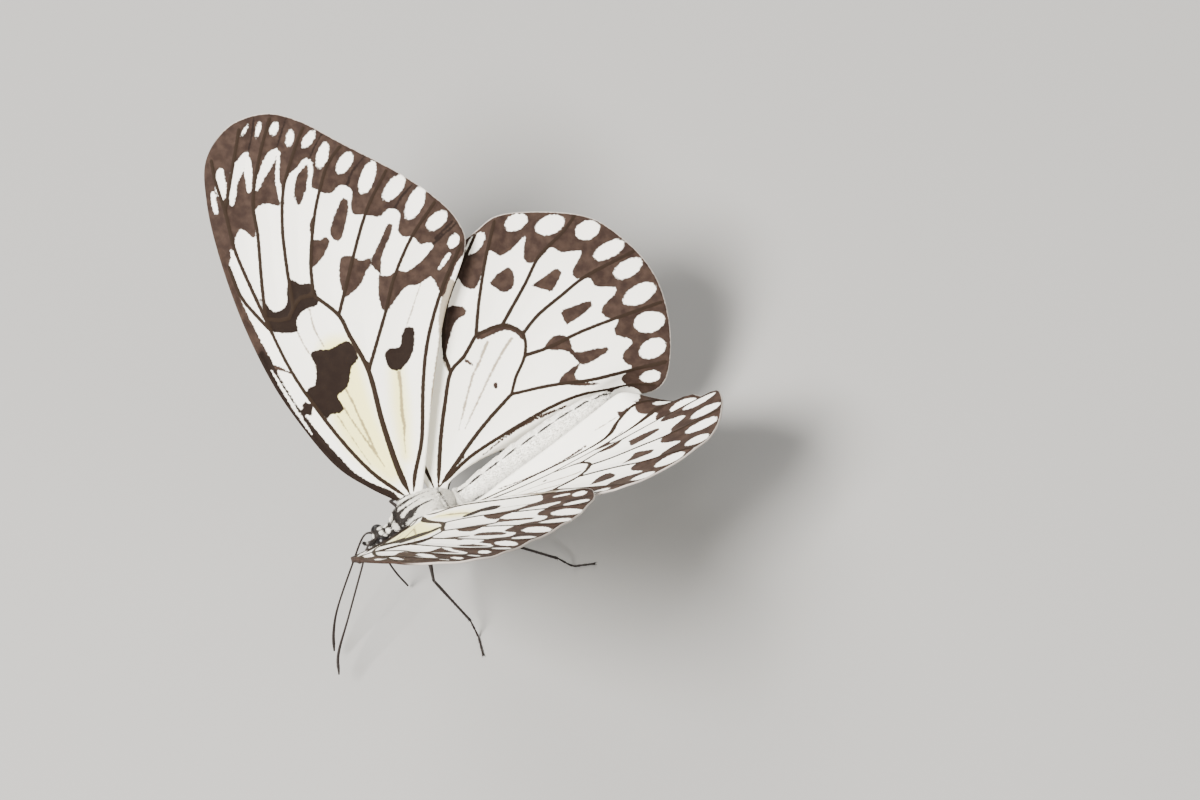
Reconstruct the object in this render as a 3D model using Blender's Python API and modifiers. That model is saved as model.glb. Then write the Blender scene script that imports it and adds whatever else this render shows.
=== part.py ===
"""A paper kite butterfly at life size, standing on its four walking legs with its wings half raised.

Metres, +Z up. The head points to -Y and the butterfly's left side is +X. The body is drawn in millimetres
about the middle of the thorax, and the whole is then set with the middle of its box over the origin and its
feet on z = 0. A wing is drawn flat, as (out from the root, forward), and then laid along its own axes.
"""

import math

import bmesh
import bpy
import numpy as np
from mathutils import Vector
from mathutils.geometry import delaunay_2d_cdt

# Driving dimensions, in millimetres
FOREWING_LENGTH = 66.0
STANDING_HEIGHT = 16.0  # middle of the thorax above the floor
THORAX_LENGTH = 11.8
THORAX_WIDTH = 6.2
THORAX_HEIGHT = 7.2
HEAD_LENGTH = 3.4
HEAD_WIDTH = 3.2
HEAD_HEIGHT = 3.5
EYE_DIAMETER = 2.1
ABDOMEN_LENGTH = 30.0
ABDOMEN_WIDTH = 5.0
GAP = 0.3  # between neighbouring pieces

# Wing thicknesses
MEMBRANE = 0.5
VEIN = 0.9
COSTA = 1.0
ROOT = 1.1
VEIN_HALF_WIDTH = 0.5
COSTA_HALF_WIDTH = 0.9
ROOT_REACH = 3.5  # how far out the thick root runs
HUG_REACH = 12.0  # how far out the inner margin's turn along the body fades away

# A hindwing's inner margin folds along the abdomen, most where it lies beside it
FOLD_LINE = 1.0  # out from the root
FOLD_SOFTNESS = 0.8
FOLD_START = -3.0
FOLD_END = -41.0
FOLD_RISE = 6.0  # over what length it sets in
FOLD_FADE = 8.0  # and fades away

MM = 0.001
FRONT_OF_THORAX = -5.6
BACK_OF_THORAX = FRONT_OF_THORAX + THORAX_LENGTH

# Each wing's outline runs from the front of its root round the tip to the back of the root.
FOREWING_OUTLINE = (
    (-1.2, 1.2), (1, 2.7), (4.5, 5.0), (10, 7.7), (18, 9.1), (27, 9.6), (38, 8.6), (49.5, 6.2), (57, 3.7),
    (62.5, 0.5), (65.3, -5), (64.3, -11), (60.5, -15.3), (53.5, -19.6), (45, -24.8), (38, -28.0), (33, -28.9),
    (29, -27.4), (22, -19.5), (12, -11.2), (4, -5.2), (-1.2, -1.2),
)
HINDWING_OUTLINE = (
    (-1.2, 1.1), (8, 1.0), (17, -2), (25.5, -9), (30.4, -18), (32.1, -26), (32.1, -32), (25.7, -42.2),
    (18.5, -46.2), (11, -47.3), (3.5, -45.3), (-2.5, -41.5), (-5.2, -37.5), (-5.6, -33), (-4.4, -28),
    (-2.6, -21), (-1.0, -14), (0.3, -8), (0.3, -2.8), (-1.2, -1.0),
)
FOREWING_VEINS = {
    "radius": ((0.5, 0.8), (6.5, 3.4), (14, 5.0), (22.5, 5.9), (28, 6.0), (34, 5.5)),
    "radius_1": ((34, 5.5), (37, 6.2), (41, 6.8), (46, 6.0)),
    "radius_2": ((34, 5.5), (42.5, 4.6), (48, 3.8), (54, 2.0), (58.5, 1.0), (62, -0.2)),
    "radius_5": ((54, 2.0), (57.5, -1.0), (61, -4.0), (64, -6.5)),
    "media_1": ((36, 5.2), (41.5, 2.7), (48, -0.5), (53, -2.6), (58.5, -7), (63, -11.6)),
    "media_2": ((35.2, 0.6), (39, -0.9), (44, -3), (48, -5), (52.5, -8), (57, -12.8), (59, -15.4)),
    "media_3": ((35.3, -3.2), (40, -5.5), (45, -9), (48.5, -12), (52, -15.8), (53.4, -18.9)),
    "cubitus_1": ((30.5, -5), (33.5, -8), (39, -13.5), (43, -18), (46.3, -23.2)),
    "cubitus_2": ((20.5, -4.5), (27, -11.5), (31, -15.5), (35, -21), (38, -27.2)),
    "cubitus": ((0.5, 0), (5, -0.5), (12.5, -2.2), (20.5, -4.5), (27, -4.8), (30.5, -5), (35.3, -3.2)),
    "cell_end": ((36, 5.2), (34.6, 3.4), (34.2, 2.0), (35.2, 0.6), (36, -1.2), (35.3, -3.2)),
    "anal": ((0.5, -0.7), (3, -2.6), (7, -6.2), (14.5, -11), (20, -15.2), (25.5, -21), (30.3, -27.6)),
}
HINDWING_VEINS = {
    "subcosta": ((0.5, 0.3), (8, -0.8), (17, -4.5), (25, -11), (30.6, -19.5)),
    "radius": ((0.3, -0.3), (6.5, -4.5), (11, -8), (15, -11.5), (16, -14.5), (18, -18)),
    "radius_sector": ((15, -11.5), (19, -12.6), (25, -17), (32, -26.5)),
    "media_1": ((18, -18), (22.5, -21.3), (27.5, -25.5), (32, -29.8)),
    "media_2": ((17.2, -22.4), (21, -29), (23.5, -33), (25, -38.5), (26.2, -41.2)),
    "media_3": ((14.3, -24.5), (15.6, -28), (16.4, -33), (17, -38), (16.5, -46.4)),
    "cubitus_1": ((11.2, -23), (10.3, -27), (9.9, -32), (9, -37.5), (7.3, -46)),
    "cubitus_2": ((7, -18), (5, -24), (2.6, -29.5), (0.8, -35), (-1.2, -41.6)),
    "cubitus": ((0.3, -0.6), (2, -4.5), (4, -9), (5.5, -13), (7, -18)),
    "cell_end": ((18, -18), (17.2, -22.4), (14.3, -24.5), (11.2, -23), (9, -20), (7, -18)),
    "anal": ((0.6, -1.6), (1.8, -7), (2.1, -14), (2.0, -22), (1.0, -28), (-1.4, -32.5), (-3.9, -38.4)),
}

# Places about the middle of the thorax, as outward, back and up
FOREWING_ROOT = (2.6, 0.2, 1.6)
HINDWING_ROOT = (2.6, 4.2, -0.6)
HEAD_MIDDLE = (0, -7.0, 0.0)
EYE_MIDDLE = (1.2, -7.3, 0.15)
LEFT_ANTENNA = (
    (0.6, -7.7, 1.0), (1.2, -9.6, 1.3), (3.1, -12.6, -0.8), (6.4, -18.4, -5.5), (8.6, -22.8, -9.4),
    (10.6, -24.5, -11.6),
)
RIGHT_ANTENNA = (
    (0.6, -7.7, 1.0), (0.9, -9.6, 1.2), (-0.2, -13.7, -2.4), (-2.2, -19.3, -7.4), (-3.6, -22.0, -10.6),
    (-5.0, -23.6, -13.2),
)
PALP = ((0.4, -8.0, -0.7), (0.6, -9.1, -1.1), (0.7, -9.9, -0.7), (0.7, -10.2, 0.0))
PROBOSCIS = ((0, -7.7, -0.6), (0, -8.2, -3.0), (0, -8.6, -7.0), (0, -8.6, -11.0), (0, -8.3, -15.0))
FORELEG = ((1.0, -3.6, -1.6), (1.5, -4.7, -3.4), (1.9, -3.5, -4.9), (1.5, -5.3, -5.6), (1.3, -6.4, -5.2))
MIDDLE_LEG = (
    (1.2, -0.8, -1.8), (2.4, -1.6, -3.9), (9.0, -3.6, -5.2), (14.2, -2.0, -12.4), (15.6, -2.4, -15.78),
    (18.9, -3.1, -15.8),
)
HIND_LEG = (
    (1.2, 2.6, -1.6), (2.3, 3.3, -3.9), (8.2, 8.0, -5.2), (12.6, 15.0, -12.4), (13.2, 16.6, -15.78),
    (14.8, 19.6, -15.8),
)
ANTENNA_RADII = (0.32, 0.28, 0.25, 0.26, 0.38, 0.30)
PALP_RADII = (0.40, 0.45, 0.38, 0.26)
PROBOSCIS_RADII = (0.42, 0.36, 0.30, 0.28, 0.26)
FORELEG_RADII = (0.50, 0.40, 0.32, 0.27, 0.25)
LEG_RADII = (0.75, 0.55, 0.42, 0.34, 0.30, 0.28)

DARK = (0.018, 0.013, 0.010)
CREAM = (0.80, 0.78, 0.68)
HORN = (0.05, 0.03, 0.02)


def material(name, colour, roughness):
    made = bpy.data.materials.new(name)
    made.use_nodes = True
    shader = made.node_tree.nodes["Principled BSDF"]
    shader.inputs["Base Color"].default_value = (*colour, 1.0)
    shader.inputs["Roughness"].default_value = roughness
    shader.inputs["Metallic"].default_value = 0.0
    return made


def smooth_path(points, step):
    """Catmull-Rom curve through the points, as an array with a point about every step."""
    points = np.array(points, float)
    ends = np.vstack([2 * points[0] - points[1], points, 2 * points[-1] - points[-2]])
    path = [points[0]]
    for before, start, end, after in zip(ends, ends[1:], ends[2:], ends[3:]):
        count = max(1, round(np.linalg.norm(end - start) / step))
        for t in np.arange(1, count + 1) / count:
            bend = (2 * before - 5 * start + 4 * end - after) * t**2
            twist = (3 * start - before - 3 * end + after) * t**3
            path.append(0.5 * (2 * start + (end - before) * t + bend + twist))
    return np.array(path)


def distance_to_path(points, path):
    """How far each of the points is from a path of straight runs."""
    nearest = np.full(len(points), np.inf)
    for start, end in zip(path, path[1:]):
        run = end - start
        along = np.clip((points - start) @ run / (run @ run), 0, 1)
        nearest = np.minimum(nearest, np.linalg.norm(points - start - along[:, None] * run, axis=1))
    return nearest


def inside(points, outline):
    """Which of the points lie inside a closed outline."""
    crossings = np.zeros(len(points), int)
    for (x0, y0), (x1, y1) in zip(outline, np.roll(outline, -1, axis=0)):
        spans = (y0 > points[:, 1]) != (y1 > points[:, 1])
        at = x0 + (points[:, 1] - y0) / (y1 - y0 if y1 != y0 else 1) * (x1 - x0)
        crossings += spans & (points[:, 0] < at)
    return crossings % 2 == 1


def new_object(name, mesh, finish, collection, parent):
    made = bpy.data.objects.new(name, mesh)
    if finish:
        mesh.materials.append(finish)
    collection.objects.link(made)
    made.parent = parent
    return made


def clear_of(piece, cutter):
    """Cuts a piece back from its neighbour, whose cutter stands GAP proud of it."""
    cut = piece.modifiers.new("Clear of " + cutter.name, "BOOLEAN")
    cut.object = cutter


def shaped_sphere(name, rings, sides, shape):
    """A sphere whose poles lie along Y and whose points go through shape(along, across, up)."""
    mesh = bpy.data.meshes.new(name)
    form = bmesh.new()
    bmesh.ops.create_uvsphere(form, u_segments=sides, v_segments=rings, radius=1.0)
    for vertex in form.verts:
        across, up, along = vertex.co
        vertex.co = Vector(shape(along, across, up)) * MM
    bmesh.ops.recalc_face_normals(form, faces=form.faces)
    form.to_mesh(mesh)
    form.free()
    mesh.shade_smooth()
    return mesh


def thorax_shape(grow=0.0):
    """Deep and wide under the wings, drawn in to the neck and down to the waist."""

    def shape(along, across, up):
        y = FRONT_OF_THORAX - grow + (along + 1) / 2 * (THORAX_LENGTH + 2 * grow)
        x = across * (THORAX_WIDTH / 2 + grow)
        back = max(0.0, (y - 1.5) / BACK_OF_THORAX)
        z = up * (THORAX_HEIGHT / 2 + grow) * (1 - 0.18 * back) - 1.3 * back**2
        return x, y, z

    return shape


def head_shape(grow=0.0):
    def shape(along, across, up):
        x, y, z = HEAD_MIDDLE
        return (
            x + across * (HEAD_WIDTH / 2 + grow),
            y + along * (HEAD_LENGTH / 2 + grow),
            z + up * (HEAD_HEIGHT / 2 + grow) - 0.25 * along,
        )

    return shape


def eye_shape(side):
    def shape(along, across, up):
        x, y, z = EYE_MIDDLE
        radius = EYE_DIAMETER / 2
        return side * x + across * radius, y + along * radius, z + up * radius * 1.1

    return shape


def abdomen_axis(y):
    """Height of the abdomen's middle: low at the waist, and rising a little to the tip."""
    return np.interp(y, (5, 8, 14, 20, 27, 32, 36), (-1.7, -1.9, -1.4, -0.7, 0.3, 0.8, 0.8))


def abdomen_shape(along, across, up):
    start = BACK_OF_THORAX - 1.2
    t = (along + 1) / 2
    y = start + t * (ABDOMEN_LENGTH + 1.0)
    stations = (0, 0.08, 0.2, 0.42, 0.7, 0.85, 0.95, 1)
    girth = np.interp(t, stations, (0.6, 0.6, 0.82, 1, 0.95, 0.75, 0.45, 0.25))
    girth *= 1 - 0.035 * math.cos(2 * math.pi * 9 * t)
    ring = math.hypot(across, up)
    end = min(1.0, (1 - abs(along)) * 12) ** 0.5
    size = ABDOMEN_WIDTH / 2 * girth * end / ring if ring > 1e-6 else 0
    return across * size, y, abdomen_axis(y) + up * size * 1.04


def tube(name, points, radii, sides, parts):
    """A curve through points with a radius at each, made a closed mesh so that it can be cut."""
    curve = bpy.data.curves.new(name, "CURVE")
    curve.dimensions = "3D"
    curve.bevel_depth = MM
    curve.bevel_resolution = sides // 2 - 2
    curve.use_fill_caps = True
    spline = curve.splines.new("POLY")
    spline.points.add(len(points) - 1)
    for point, place, radius in zip(spline.points, points, radii):
        point.co = (*(np.array(place) * MM), 1.0)
        point.radius = radius
    guide = bpy.data.objects.new(name + "_curve", curve)
    parts.objects.link(guide)
    bpy.context.view_layer.update()
    graph = bpy.context.evaluated_depsgraph_get()
    mesh = bpy.data.meshes.new_from_object(guide.evaluated_get(graph))
    bpy.data.objects.remove(guide)
    bpy.data.curves.remove(curve)
    form = bmesh.new()
    form.from_mesh(mesh)
    bmesh.ops.remove_doubles(form, verts=form.verts, dist=1e-7)
    bmesh.ops.recalc_face_normals(form, faces=form.faces)
    form.to_mesh(mesh)
    form.free()
    mesh.shade_smooth()
    mesh.name = name
    return mesh


def cut_at_floor(mesh):
    """Takes off what lies under the floor, which leaves a small flat under the foot."""
    form = bmesh.new()
    form.from_mesh(mesh)
    everything = form.verts[:] + form.edges[:] + form.faces[:]
    floor = (0, 0, -STANDING_HEIGHT * MM)
    cut = bmesh.ops.bisect_plane(
        form, geom=everything, dist=1e-8, plane_co=floor, plane_no=(0, 0, -1), clear_outer=True
    )
    edges = [piece for piece in cut["geom_cut"] if isinstance(piece, bmesh.types.BMEdge)]
    bmesh.ops.holes_fill(form, edges=edges)
    bmesh.ops.recalc_face_normals(form, faces=form.faces)
    form.to_mesh(mesh)
    form.free()


def knees(points, radii, bend=0.7):
    """A path with a short bend at each joint in place of a corner, and its radii."""
    points = [np.array(point, float) for point in points]
    path, sizes = [points[0]], [radii[0]]
    for before, joint, after, radius in zip(points, points[1:], points[2:], radii[1:]):
        for other in (before, after):
            run = other - joint
            path.append(joint + run * min(0.3, bend / np.linalg.norm(run)))
            sizes.append(radius)
        path.insert(-1, (2 * joint + path[-2] + path[-1]) / 4)
        sizes.append(radius)
    return path + [points[-1]], sizes + [radii[-1]]


def wing_mesh(name, outline, veins, place):
    """A thin plate on the outline, thickened over each vein, whose two faces have the same triangles."""
    edge = smooth_path(outline, 3.2)
    points, edges = list(edge), [(i, (i + 1) % len(edge)) for i in range(len(edge))]
    paths = [smooth_path(vein, 3.4) for vein in veins.values()]
    room = 0.35
    for path in paths:
        along = np.gradient(path, axis=0)
        side = np.column_stack([-along[:, 1], along[:, 0]])
        side *= VEIN_HALF_WIDTH / np.linalg.norm(side, axis=1)[:, None]
        for line in (path, path + side, path - side):
            keep = inside(line, edge) & (distance_to_path(line, edge) > room)
            first = len(points)
            points.extend(line)
            edges.extend((first + i, first + i + 1) for i in range(len(line) - 1) if keep[i] and keep[i + 1])
    spacing = 5.5
    low, high = edge.min(axis=0), edge.max(axis=0)
    grid = [
        (x + (row % 2) * spacing / 2, y)
        for row, y in enumerate(np.arange(low[1], high[1], spacing * 0.87))
        for x in np.arange(low[0], high[0], spacing)
    ]
    grid = np.array(grid)
    for path in paths:
        grid = grid[distance_to_path(grid, path) > 1.6]
    points.extend(grid)
    points = np.array(points)
    far_in = inside(points, edge) & (distance_to_path(points, np.vstack([edge, edge[:1]])) > room)
    far_in[: len(edge)] = True
    index = np.cumsum(far_in) - 1
    edges = [(int(index[a]), int(index[b])) for a, b in edges if far_in[a] and far_in[b]]
    flat = [Vector(point) for point in points[far_in]]
    flat, _, faces, *_ = delaunay_2d_cdt(flat, edges, [], 0, 1e-4)
    flat = np.array(flat)
    faces = [face for face in faces if inside(flat[list(face)].mean(axis=0)[None], edge)[0]]
    used = sorted({corner for face in faces for corner in face})
    new_index = {old: new for new, old in enumerate(used)}
    flat = flat[used]
    mesh = bpy.data.meshes.new(name)
    mesh.from_pydata([place(*point) for point in flat], [], [[new_index[c] for c in face] for face in faces])
    thickness = np.full(len(flat), MEMBRANE)
    for path in paths:
        rise = 1 - distance_to_path(flat, path) / VEIN_HALF_WIDTH
        thickness = np.maximum(thickness, MEMBRANE + (VEIN - MEMBRANE) * rise)
    front = edge[: len(edge) // 3]
    rise = 1 - distance_to_path(flat, front) / COSTA_HALF_WIDTH
    thickness = np.maximum(thickness, MEMBRANE + (COSTA - MEMBRANE) * rise)
    root = np.clip(1 - flat[:, 0] / ROOT_REACH, 0, 1)
    thickness = np.maximum(thickness, MEMBRANE + (ROOT - MEMBRANE) * root * (np.abs(flat[:, 1]) < 4))
    return mesh, (thickness - MEMBRANE) / (ROOT - MEMBRANE)


def add_wing(name, outline, veins, place, finish, collection, parent):
    mesh, weights = wing_mesh(name, outline, veins, place)
    wing = new_object(name, mesh, finish, collection, parent)
    group = wing.vertex_groups.new(name="thickness")
    for index, weight in enumerate(weights):
        group.add([index], float(weight), "REPLACE")
    shell = wing.modifiers.new("Thickness", "SOLIDIFY")
    shell.thickness = ROOT * MM
    shell.offset = 0
    shell.use_even_offset = False
    shell.vertex_group = group.name
    shell.thickness_vertex_group = MEMBRANE / ROOT
    return wing


def smooth_step(x, start, end):
    share = min(1.0, max(0.0, (x - start) / (end - start)))
    return share * share * (3 - 2 * share)


def wing_place(root, side, rise, sweep, sink=0.0, arch=1.0, hug=0.0, twist=0.0, tuck=None):
    """Lays a flat wing along its own axes, with a low arch.

    rise is how far the wing stands up and sweep how far it swings forward, in degrees, and sink is how far
    its back edge drops. hug is how far in the inner margin turns to lie along the body, and twist how far
    the tip turns its front edge up. tuck is how steeply the folded inner margin goes down from the level.
    """

    def axes(turn):
        lift, swing, drop = math.radians(rise), math.radians(turn), math.radians(sink)
        back = Vector((side * math.sin(swing), math.cos(swing), -math.sin(drop))).normalized()
        level = math.cos(lift)
        out = Vector((side * level * math.cos(swing), -level * math.sin(swing), math.sin(lift)))
        out = (out - out.dot(back) * back).normalized()
        upper = out.cross(-back)
        return out, -back, upper if upper.z > 0 else -upper

    start = Vector((side * root[0], root[1], root[2]))
    out, forward, upper = axes(sweep)
    _, forward_at_body, _ = axes(sweep - hug)
    turn_in = Vector()
    if tuck is not None:
        slope = math.radians(tuck)
        turn_in = Vector((-side * math.cos(slope), 0, -math.sin(slope))) + out

    def place(x, y):
        lengthwise = forward_at_body.lerp(forward, smooth_step(x, 0, HUG_REACH))
        depth = (math.hypot(x - FOLD_LINE, FOLD_SOFTNESS) - (x - FOLD_LINE)) / 2
        fold = smooth_step(y, FOLD_START, FOLD_START - FOLD_RISE)
        fold *= smooth_step(y, FOLD_END, FOLD_END + FOLD_FADE)
        span = min(1.0, max(0.0, x / FOREWING_LENGTH))
        turned = math.radians(twist) * span
        across = math.cos(turned) * lengthwise + math.sin(turned) * upper
        above = math.cos(turned) * upper - math.sin(turned) * lengthwise
        bowed = above * arch * math.sin(math.pi * span**0.8)
        return (start + out * x + turn_in * depth * fold + across * y + bowed) * MM

    return place


def set_over_origin(parts, body):
    """Moves the body so that the feet are on z = 0 and the middle of its box is over the origin."""
    bpy.context.view_layer.update()
    graph = bpy.context.evaluated_depsgraph_get()
    corners = [
        piece.evaluated_get(graph).matrix_world @ Vector(corner)
        for piece in parts.objects
        if piece.type == "MESH"
        for corner in piece.evaluated_get(graph).bound_box
    ]
    corners = np.array(corners)
    middle = (corners.min(axis=0) + corners.max(axis=0)) / 2
    body.location = (-middle[0], -middle[1], STANDING_HEIGHT * MM)


def main():
    for old in list(bpy.data.objects):
        bpy.data.objects.remove(old, do_unlink=True)
    parts = bpy.data.collections.new("paper_kite_butterfly")
    cutters = bpy.data.collections.new("cutters")
    bpy.context.scene.collection.children.link(parts)
    bpy.context.scene.collection.children.link(cutters)
    body = bpy.data.objects.new("body", None)
    parts.objects.link(body)

    dark = material("dark_scales", DARK, 0.7)
    cream = material("cream_scales", CREAM, 0.6)
    membrane = material("wing_scales", CREAM, 0.45)
    eye = material("eye_surface", (0.012, 0.010, 0.010), 0.2)
    horn = material("leg_and_feeler", HORN, 0.45)

    def cutter(name, mesh):
        made = new_object(name, mesh, None, cutters, body)
        made.hide_render = True
        made.display_type = "WIRE"
        return made

    near_thorax = cutter("near_thorax", shaped_sphere("near_thorax", 14, 20, thorax_shape(GAP)))
    near_head = cutter("near_head", shaped_sphere("near_head", 12, 16, head_shape(GAP)))

    # Body
    new_object("thorax", shaped_sphere("thorax", 14, 20, thorax_shape()), dark, parts, body)
    head = new_object("head", shaped_sphere("head", 12, 16, head_shape()), dark, parts, body)
    clear_of(head, near_thorax)
    abdomen = new_object("abdomen", shaped_sphere("abdomen", 40, 16, abdomen_shape), cream, parts, body)
    clear_of(abdomen, near_thorax)

    forewing = (FOREWING_OUTLINE, FOREWING_VEINS)
    hindwing = (HINDWING_OUTLINE, HINDWING_VEINS)
    wings = {
        "forewing_right": (*forewing, wing_place(FOREWING_ROOT, -1, 37, 0, arch=1.6)),
        "forewing_left": (*forewing, wing_place(FOREWING_ROOT, 1, 50.3, 4.2, -1.1, arch=-0.4, twist=26.4)),
        "hindwing_right": (*hindwing, wing_place(HINDWING_ROOT, -1, 37, 0, tuck=90)),
        "hindwing_left": (
            *hindwing,
            wing_place(HINDWING_ROOT, 1, 53.2, 1.3, -3.9, arch=-3.7, hug=-7.7, twist=27.9, tuck=0),
        ),
    }
    for name, (outline, veins, place) in wings.items():
        clear_of(add_wing(name, outline, veins, place, membrane, parts, body), near_thorax)

    # What grows from each side of the head and the thorax. Y and Z are as drawn, and X is outward.
    for side, label in ((1, "left"), (-1, "right")):

        def grow(name, points, radii, sides, neighbour, finish, smooth=0.0):
            points = [(side * x, y, z) for x, y, z in points]
            if smooth:
                rows = np.column_stack([np.array(points), radii])
                rows = smooth_path(rows, smooth)
                points, radii = rows[:, :3], rows[:, 3]
            else:
                points, radii = knees(points, radii)
            mesh = tube(name, points, radii, sides, parts)
            cut_at_floor(mesh)
            clear_of(new_object(f"{name}_{label}", mesh, finish, parts, body), neighbour)

        ball = shaped_sphere("eye", 12, 16, eye_shape(side))
        clear_of(new_object(f"eye_{label}", ball, eye, parts, body), near_head)
        feeler = LEFT_ANTENNA if side > 0 else RIGHT_ANTENNA
        grow("antenna", feeler, ANTENNA_RADII, 8, near_head, horn, smooth=1.2)
        grow("palp", PALP, PALP_RADII, 8, near_head, dark, smooth=0.5)
        grow("foreleg", FORELEG, FORELEG_RADII, 8, near_thorax, horn)
        grow("middle_leg", MIDDLE_LEG, LEG_RADII, 8, near_thorax, horn)
        grow("hind_leg", HIND_LEG, LEG_RADII, 8, near_thorax, horn)

    tongue = smooth_path(np.column_stack([PROBOSCIS, PROBOSCIS_RADII]), 1.2)
    mesh = tube("proboscis", tongue[:, :3], tongue[:, 3], 8, parts)
    clear_of(new_object("proboscis", mesh, horn, parts, body), near_head)

    set_over_origin(parts, body)


main()
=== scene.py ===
"""The looks of a paper kite butterfly standing on a pale floor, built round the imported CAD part.

Shapes are worked out in millimetres about the middle of the thorax, as x to the butterfly's left, y back and
z up, and are then scaled and moved into the row frame. A wing is drawn flat, as (out from the root, forward).
"""

import math

import bmesh
import bpy
import numpy as np
from mathutils import Matrix, Vector
from mathutils.geometry import delaunay_2d_cdt


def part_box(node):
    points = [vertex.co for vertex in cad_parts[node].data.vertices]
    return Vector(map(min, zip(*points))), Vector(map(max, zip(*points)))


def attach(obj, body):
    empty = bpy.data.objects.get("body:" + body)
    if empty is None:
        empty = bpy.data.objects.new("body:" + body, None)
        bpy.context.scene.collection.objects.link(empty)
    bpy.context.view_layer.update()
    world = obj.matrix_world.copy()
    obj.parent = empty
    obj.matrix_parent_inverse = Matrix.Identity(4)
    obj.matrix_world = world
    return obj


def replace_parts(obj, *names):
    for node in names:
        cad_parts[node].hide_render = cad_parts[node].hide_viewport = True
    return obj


MM = 0.001

# The same driving dimensions as the part's source, in millimetres
FOREWING_LENGTH = 66.0
STANDING_HEIGHT = 16.0
THORAX_LENGTH = 11.8
THORAX_WIDTH = 6.2
THORAX_HEIGHT = 7.2
HEAD_WIDTH = 3.2
HEAD_LENGTH = 3.4
HEAD_HEIGHT = 3.5
EYE_DIAMETER = 2.1
ABDOMEN_LENGTH = 30.0
ABDOMEN_WIDTH = 5.0
FRONT_OF_THORAX = -5.6
BACK_OF_THORAX = FRONT_OF_THORAX + THORAX_LENGTH
HUG_REACH = 12.0
# A hindwing's inner margin folds along the abdomen
FOLD_LINE = 1.0  # out from the root
FOLD_SOFTNESS = 0.8
FOLD_START = -3.0
FOLD_END = -41.0
FOLD_RISE = 6.0  # over what length it sets in
FOLD_FADE = 8.0  # and fades away

# What shows of a wing is thinner than its solid
MEMBRANE = 0.30
VEIN = 0.62
COSTA = 0.85
ROOT = 1.0
COSTA_HALF_WIDTH = 0.8
ROOT_REACH = 3.5
ROOT_HALF_WIDTH = 4.0
MESH_STEP = 0.34  # between the points of a wing's surface
NEAR = 0.05  # a step for measuring slopes
SAG = 0.2  # of the membrane between its veins
SAG_REACH = 1.6
FRINGE_START = 34.0  # how far from the root the pale fringe begins
OUTLINE_STEP = 0.8
VEIN_STEP = 0.7
FINE_STEP = 0.4  # along the fine strokes, which have mesh lines of their own
EDGE_ROOM = 0.25  # between the outline and the nearest inner point
VEIN_SHOULDER = 0.3  # from a vein's middle to the mesh line on each side of it
VEIN_REACH = 0.34  # half the width of a raised vein
VEIN_ROOM = 0.5  # between a vein's middle and the nearest point of the grid
FINE_ROOM = 0.17  # and between a fine stroke and that point
FINE_VEIN_ROOM = 0.45  # between a vein's middle and the nearest fine stroke
ROW_STEP = 0.87  # of the grid's rows, as a share of the mesh step
PATCH_STEP = 0.7
STROKE_STEP = 0.6
LINE_STEP = 1.2  # along the veins' dark lines
STROKE_RANGE = 8  # points farther from a stroke than this aren't measured
NONE = -99.0  # the measure of a point far outside every mark

FOREWING_ROOT = (2.6, 0.2, 1.6)
HINDWING_ROOT = (2.6, 4.2, -0.6)
HEAD_MIDDLE = (0.0, -7.0, 0.0)
EYE_MIDDLE = (1.2, -7.3, 0.15)
LEFT_ANTENNA = (
    (0.6, -7.7, 1.0), (1.2, -9.6, 1.3), (3.1, -12.6, -0.8), (6.4, -18.4, -5.5), (8.6, -22.8, -9.4),
    (10.6, -24.5, -11.6),
)
RIGHT_ANTENNA = (
    (0.6, -7.7, 1.0), (0.9, -9.6, 1.2), (-0.2, -13.7, -2.4), (-2.2, -19.3, -7.4), (-3.6, -22.0, -10.6),
    (-5.0, -23.6, -13.2),
)
PALP = ((0.4, -8.0, -0.7), (0.6, -9.1, -1.1), (0.7, -9.9, -0.7), (0.7, -10.2, 0.0))
PROBOSCIS = ((0, -7.7, -0.6), (0, -8.2, -3.0), (0, -8.6, -7.0), (0, -8.6, -11.0), (0, -8.3, -15.0))
FORELEG = ((1.0, -3.6, -1.6), (1.5, -4.7, -3.4), (1.9, -3.5, -4.9), (1.5, -5.3, -5.6), (1.3, -6.4, -5.2))
MIDDLE_LEG = (
    (1.2, -0.8, -1.8), (2.4, -1.6, -3.9), (9.0, -3.6, -5.2), (14.2, -2.0, -12.4), (15.6, -2.4, -15.78),
    (18.9, -3.1, -15.8),
)
HIND_LEG = (
    (1.2, 2.6, -1.6), (2.3, 3.3, -3.9), (8.2, 8.0, -5.2), (12.6, 15.0, -12.4), (13.2, 16.6, -15.78),
    (14.8, 19.6, -15.8),
)
PALP_RADII = (0.40, 0.45, 0.38, 0.26)
PROBOSCIS_RADII = (0.42, 0.36, 0.30, 0.28, 0.26)
FORELEG_RADII = (0.50, 0.40, 0.32, 0.27, 0.25)

# The skin lies this deep under the coat
COAT = 0.3
HEAD_COAT = 0.16
FLAT_COAT = 0.1

# Forms of the body
SKIN_STEP = 0.12
GROOVE_WIDTH = 0.3
COLLAR_GROOVE = -4.1
COLLAR_DEPTH = 0.07
WAIST_GROOVE = 3.7
WAIST_DEPTH = 0.05
THORAX_BACK = 1.5  # from here on the thorax gets lower
THORAX_SLIM = 0.18
THORAX_DROP = 1.3
HEAD_NOD = 0.25
NECK = ((0, -5.5, 0.1), (1.1, 1.1, 1.2))
ABDOMEN_START = BACK_OF_THORAX - 1.2
ABDOMEN_SPAN = ABDOMEN_LENGTH + 1.0
ABDOMEN_AXIS = ((5, 8, 14, 20, 27, 32, 36), (-1.7, -1.9, -1.4, -0.7, 0.3, 0.8, 0.8))
ABDOMEN_GIRTH = ((0, 0.08, 0.2, 0.42, 0.7, 0.85, 0.95, 1), (0.6, 0.6, 0.82, 1, 0.95, 0.75, 0.45, 0.25))
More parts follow.
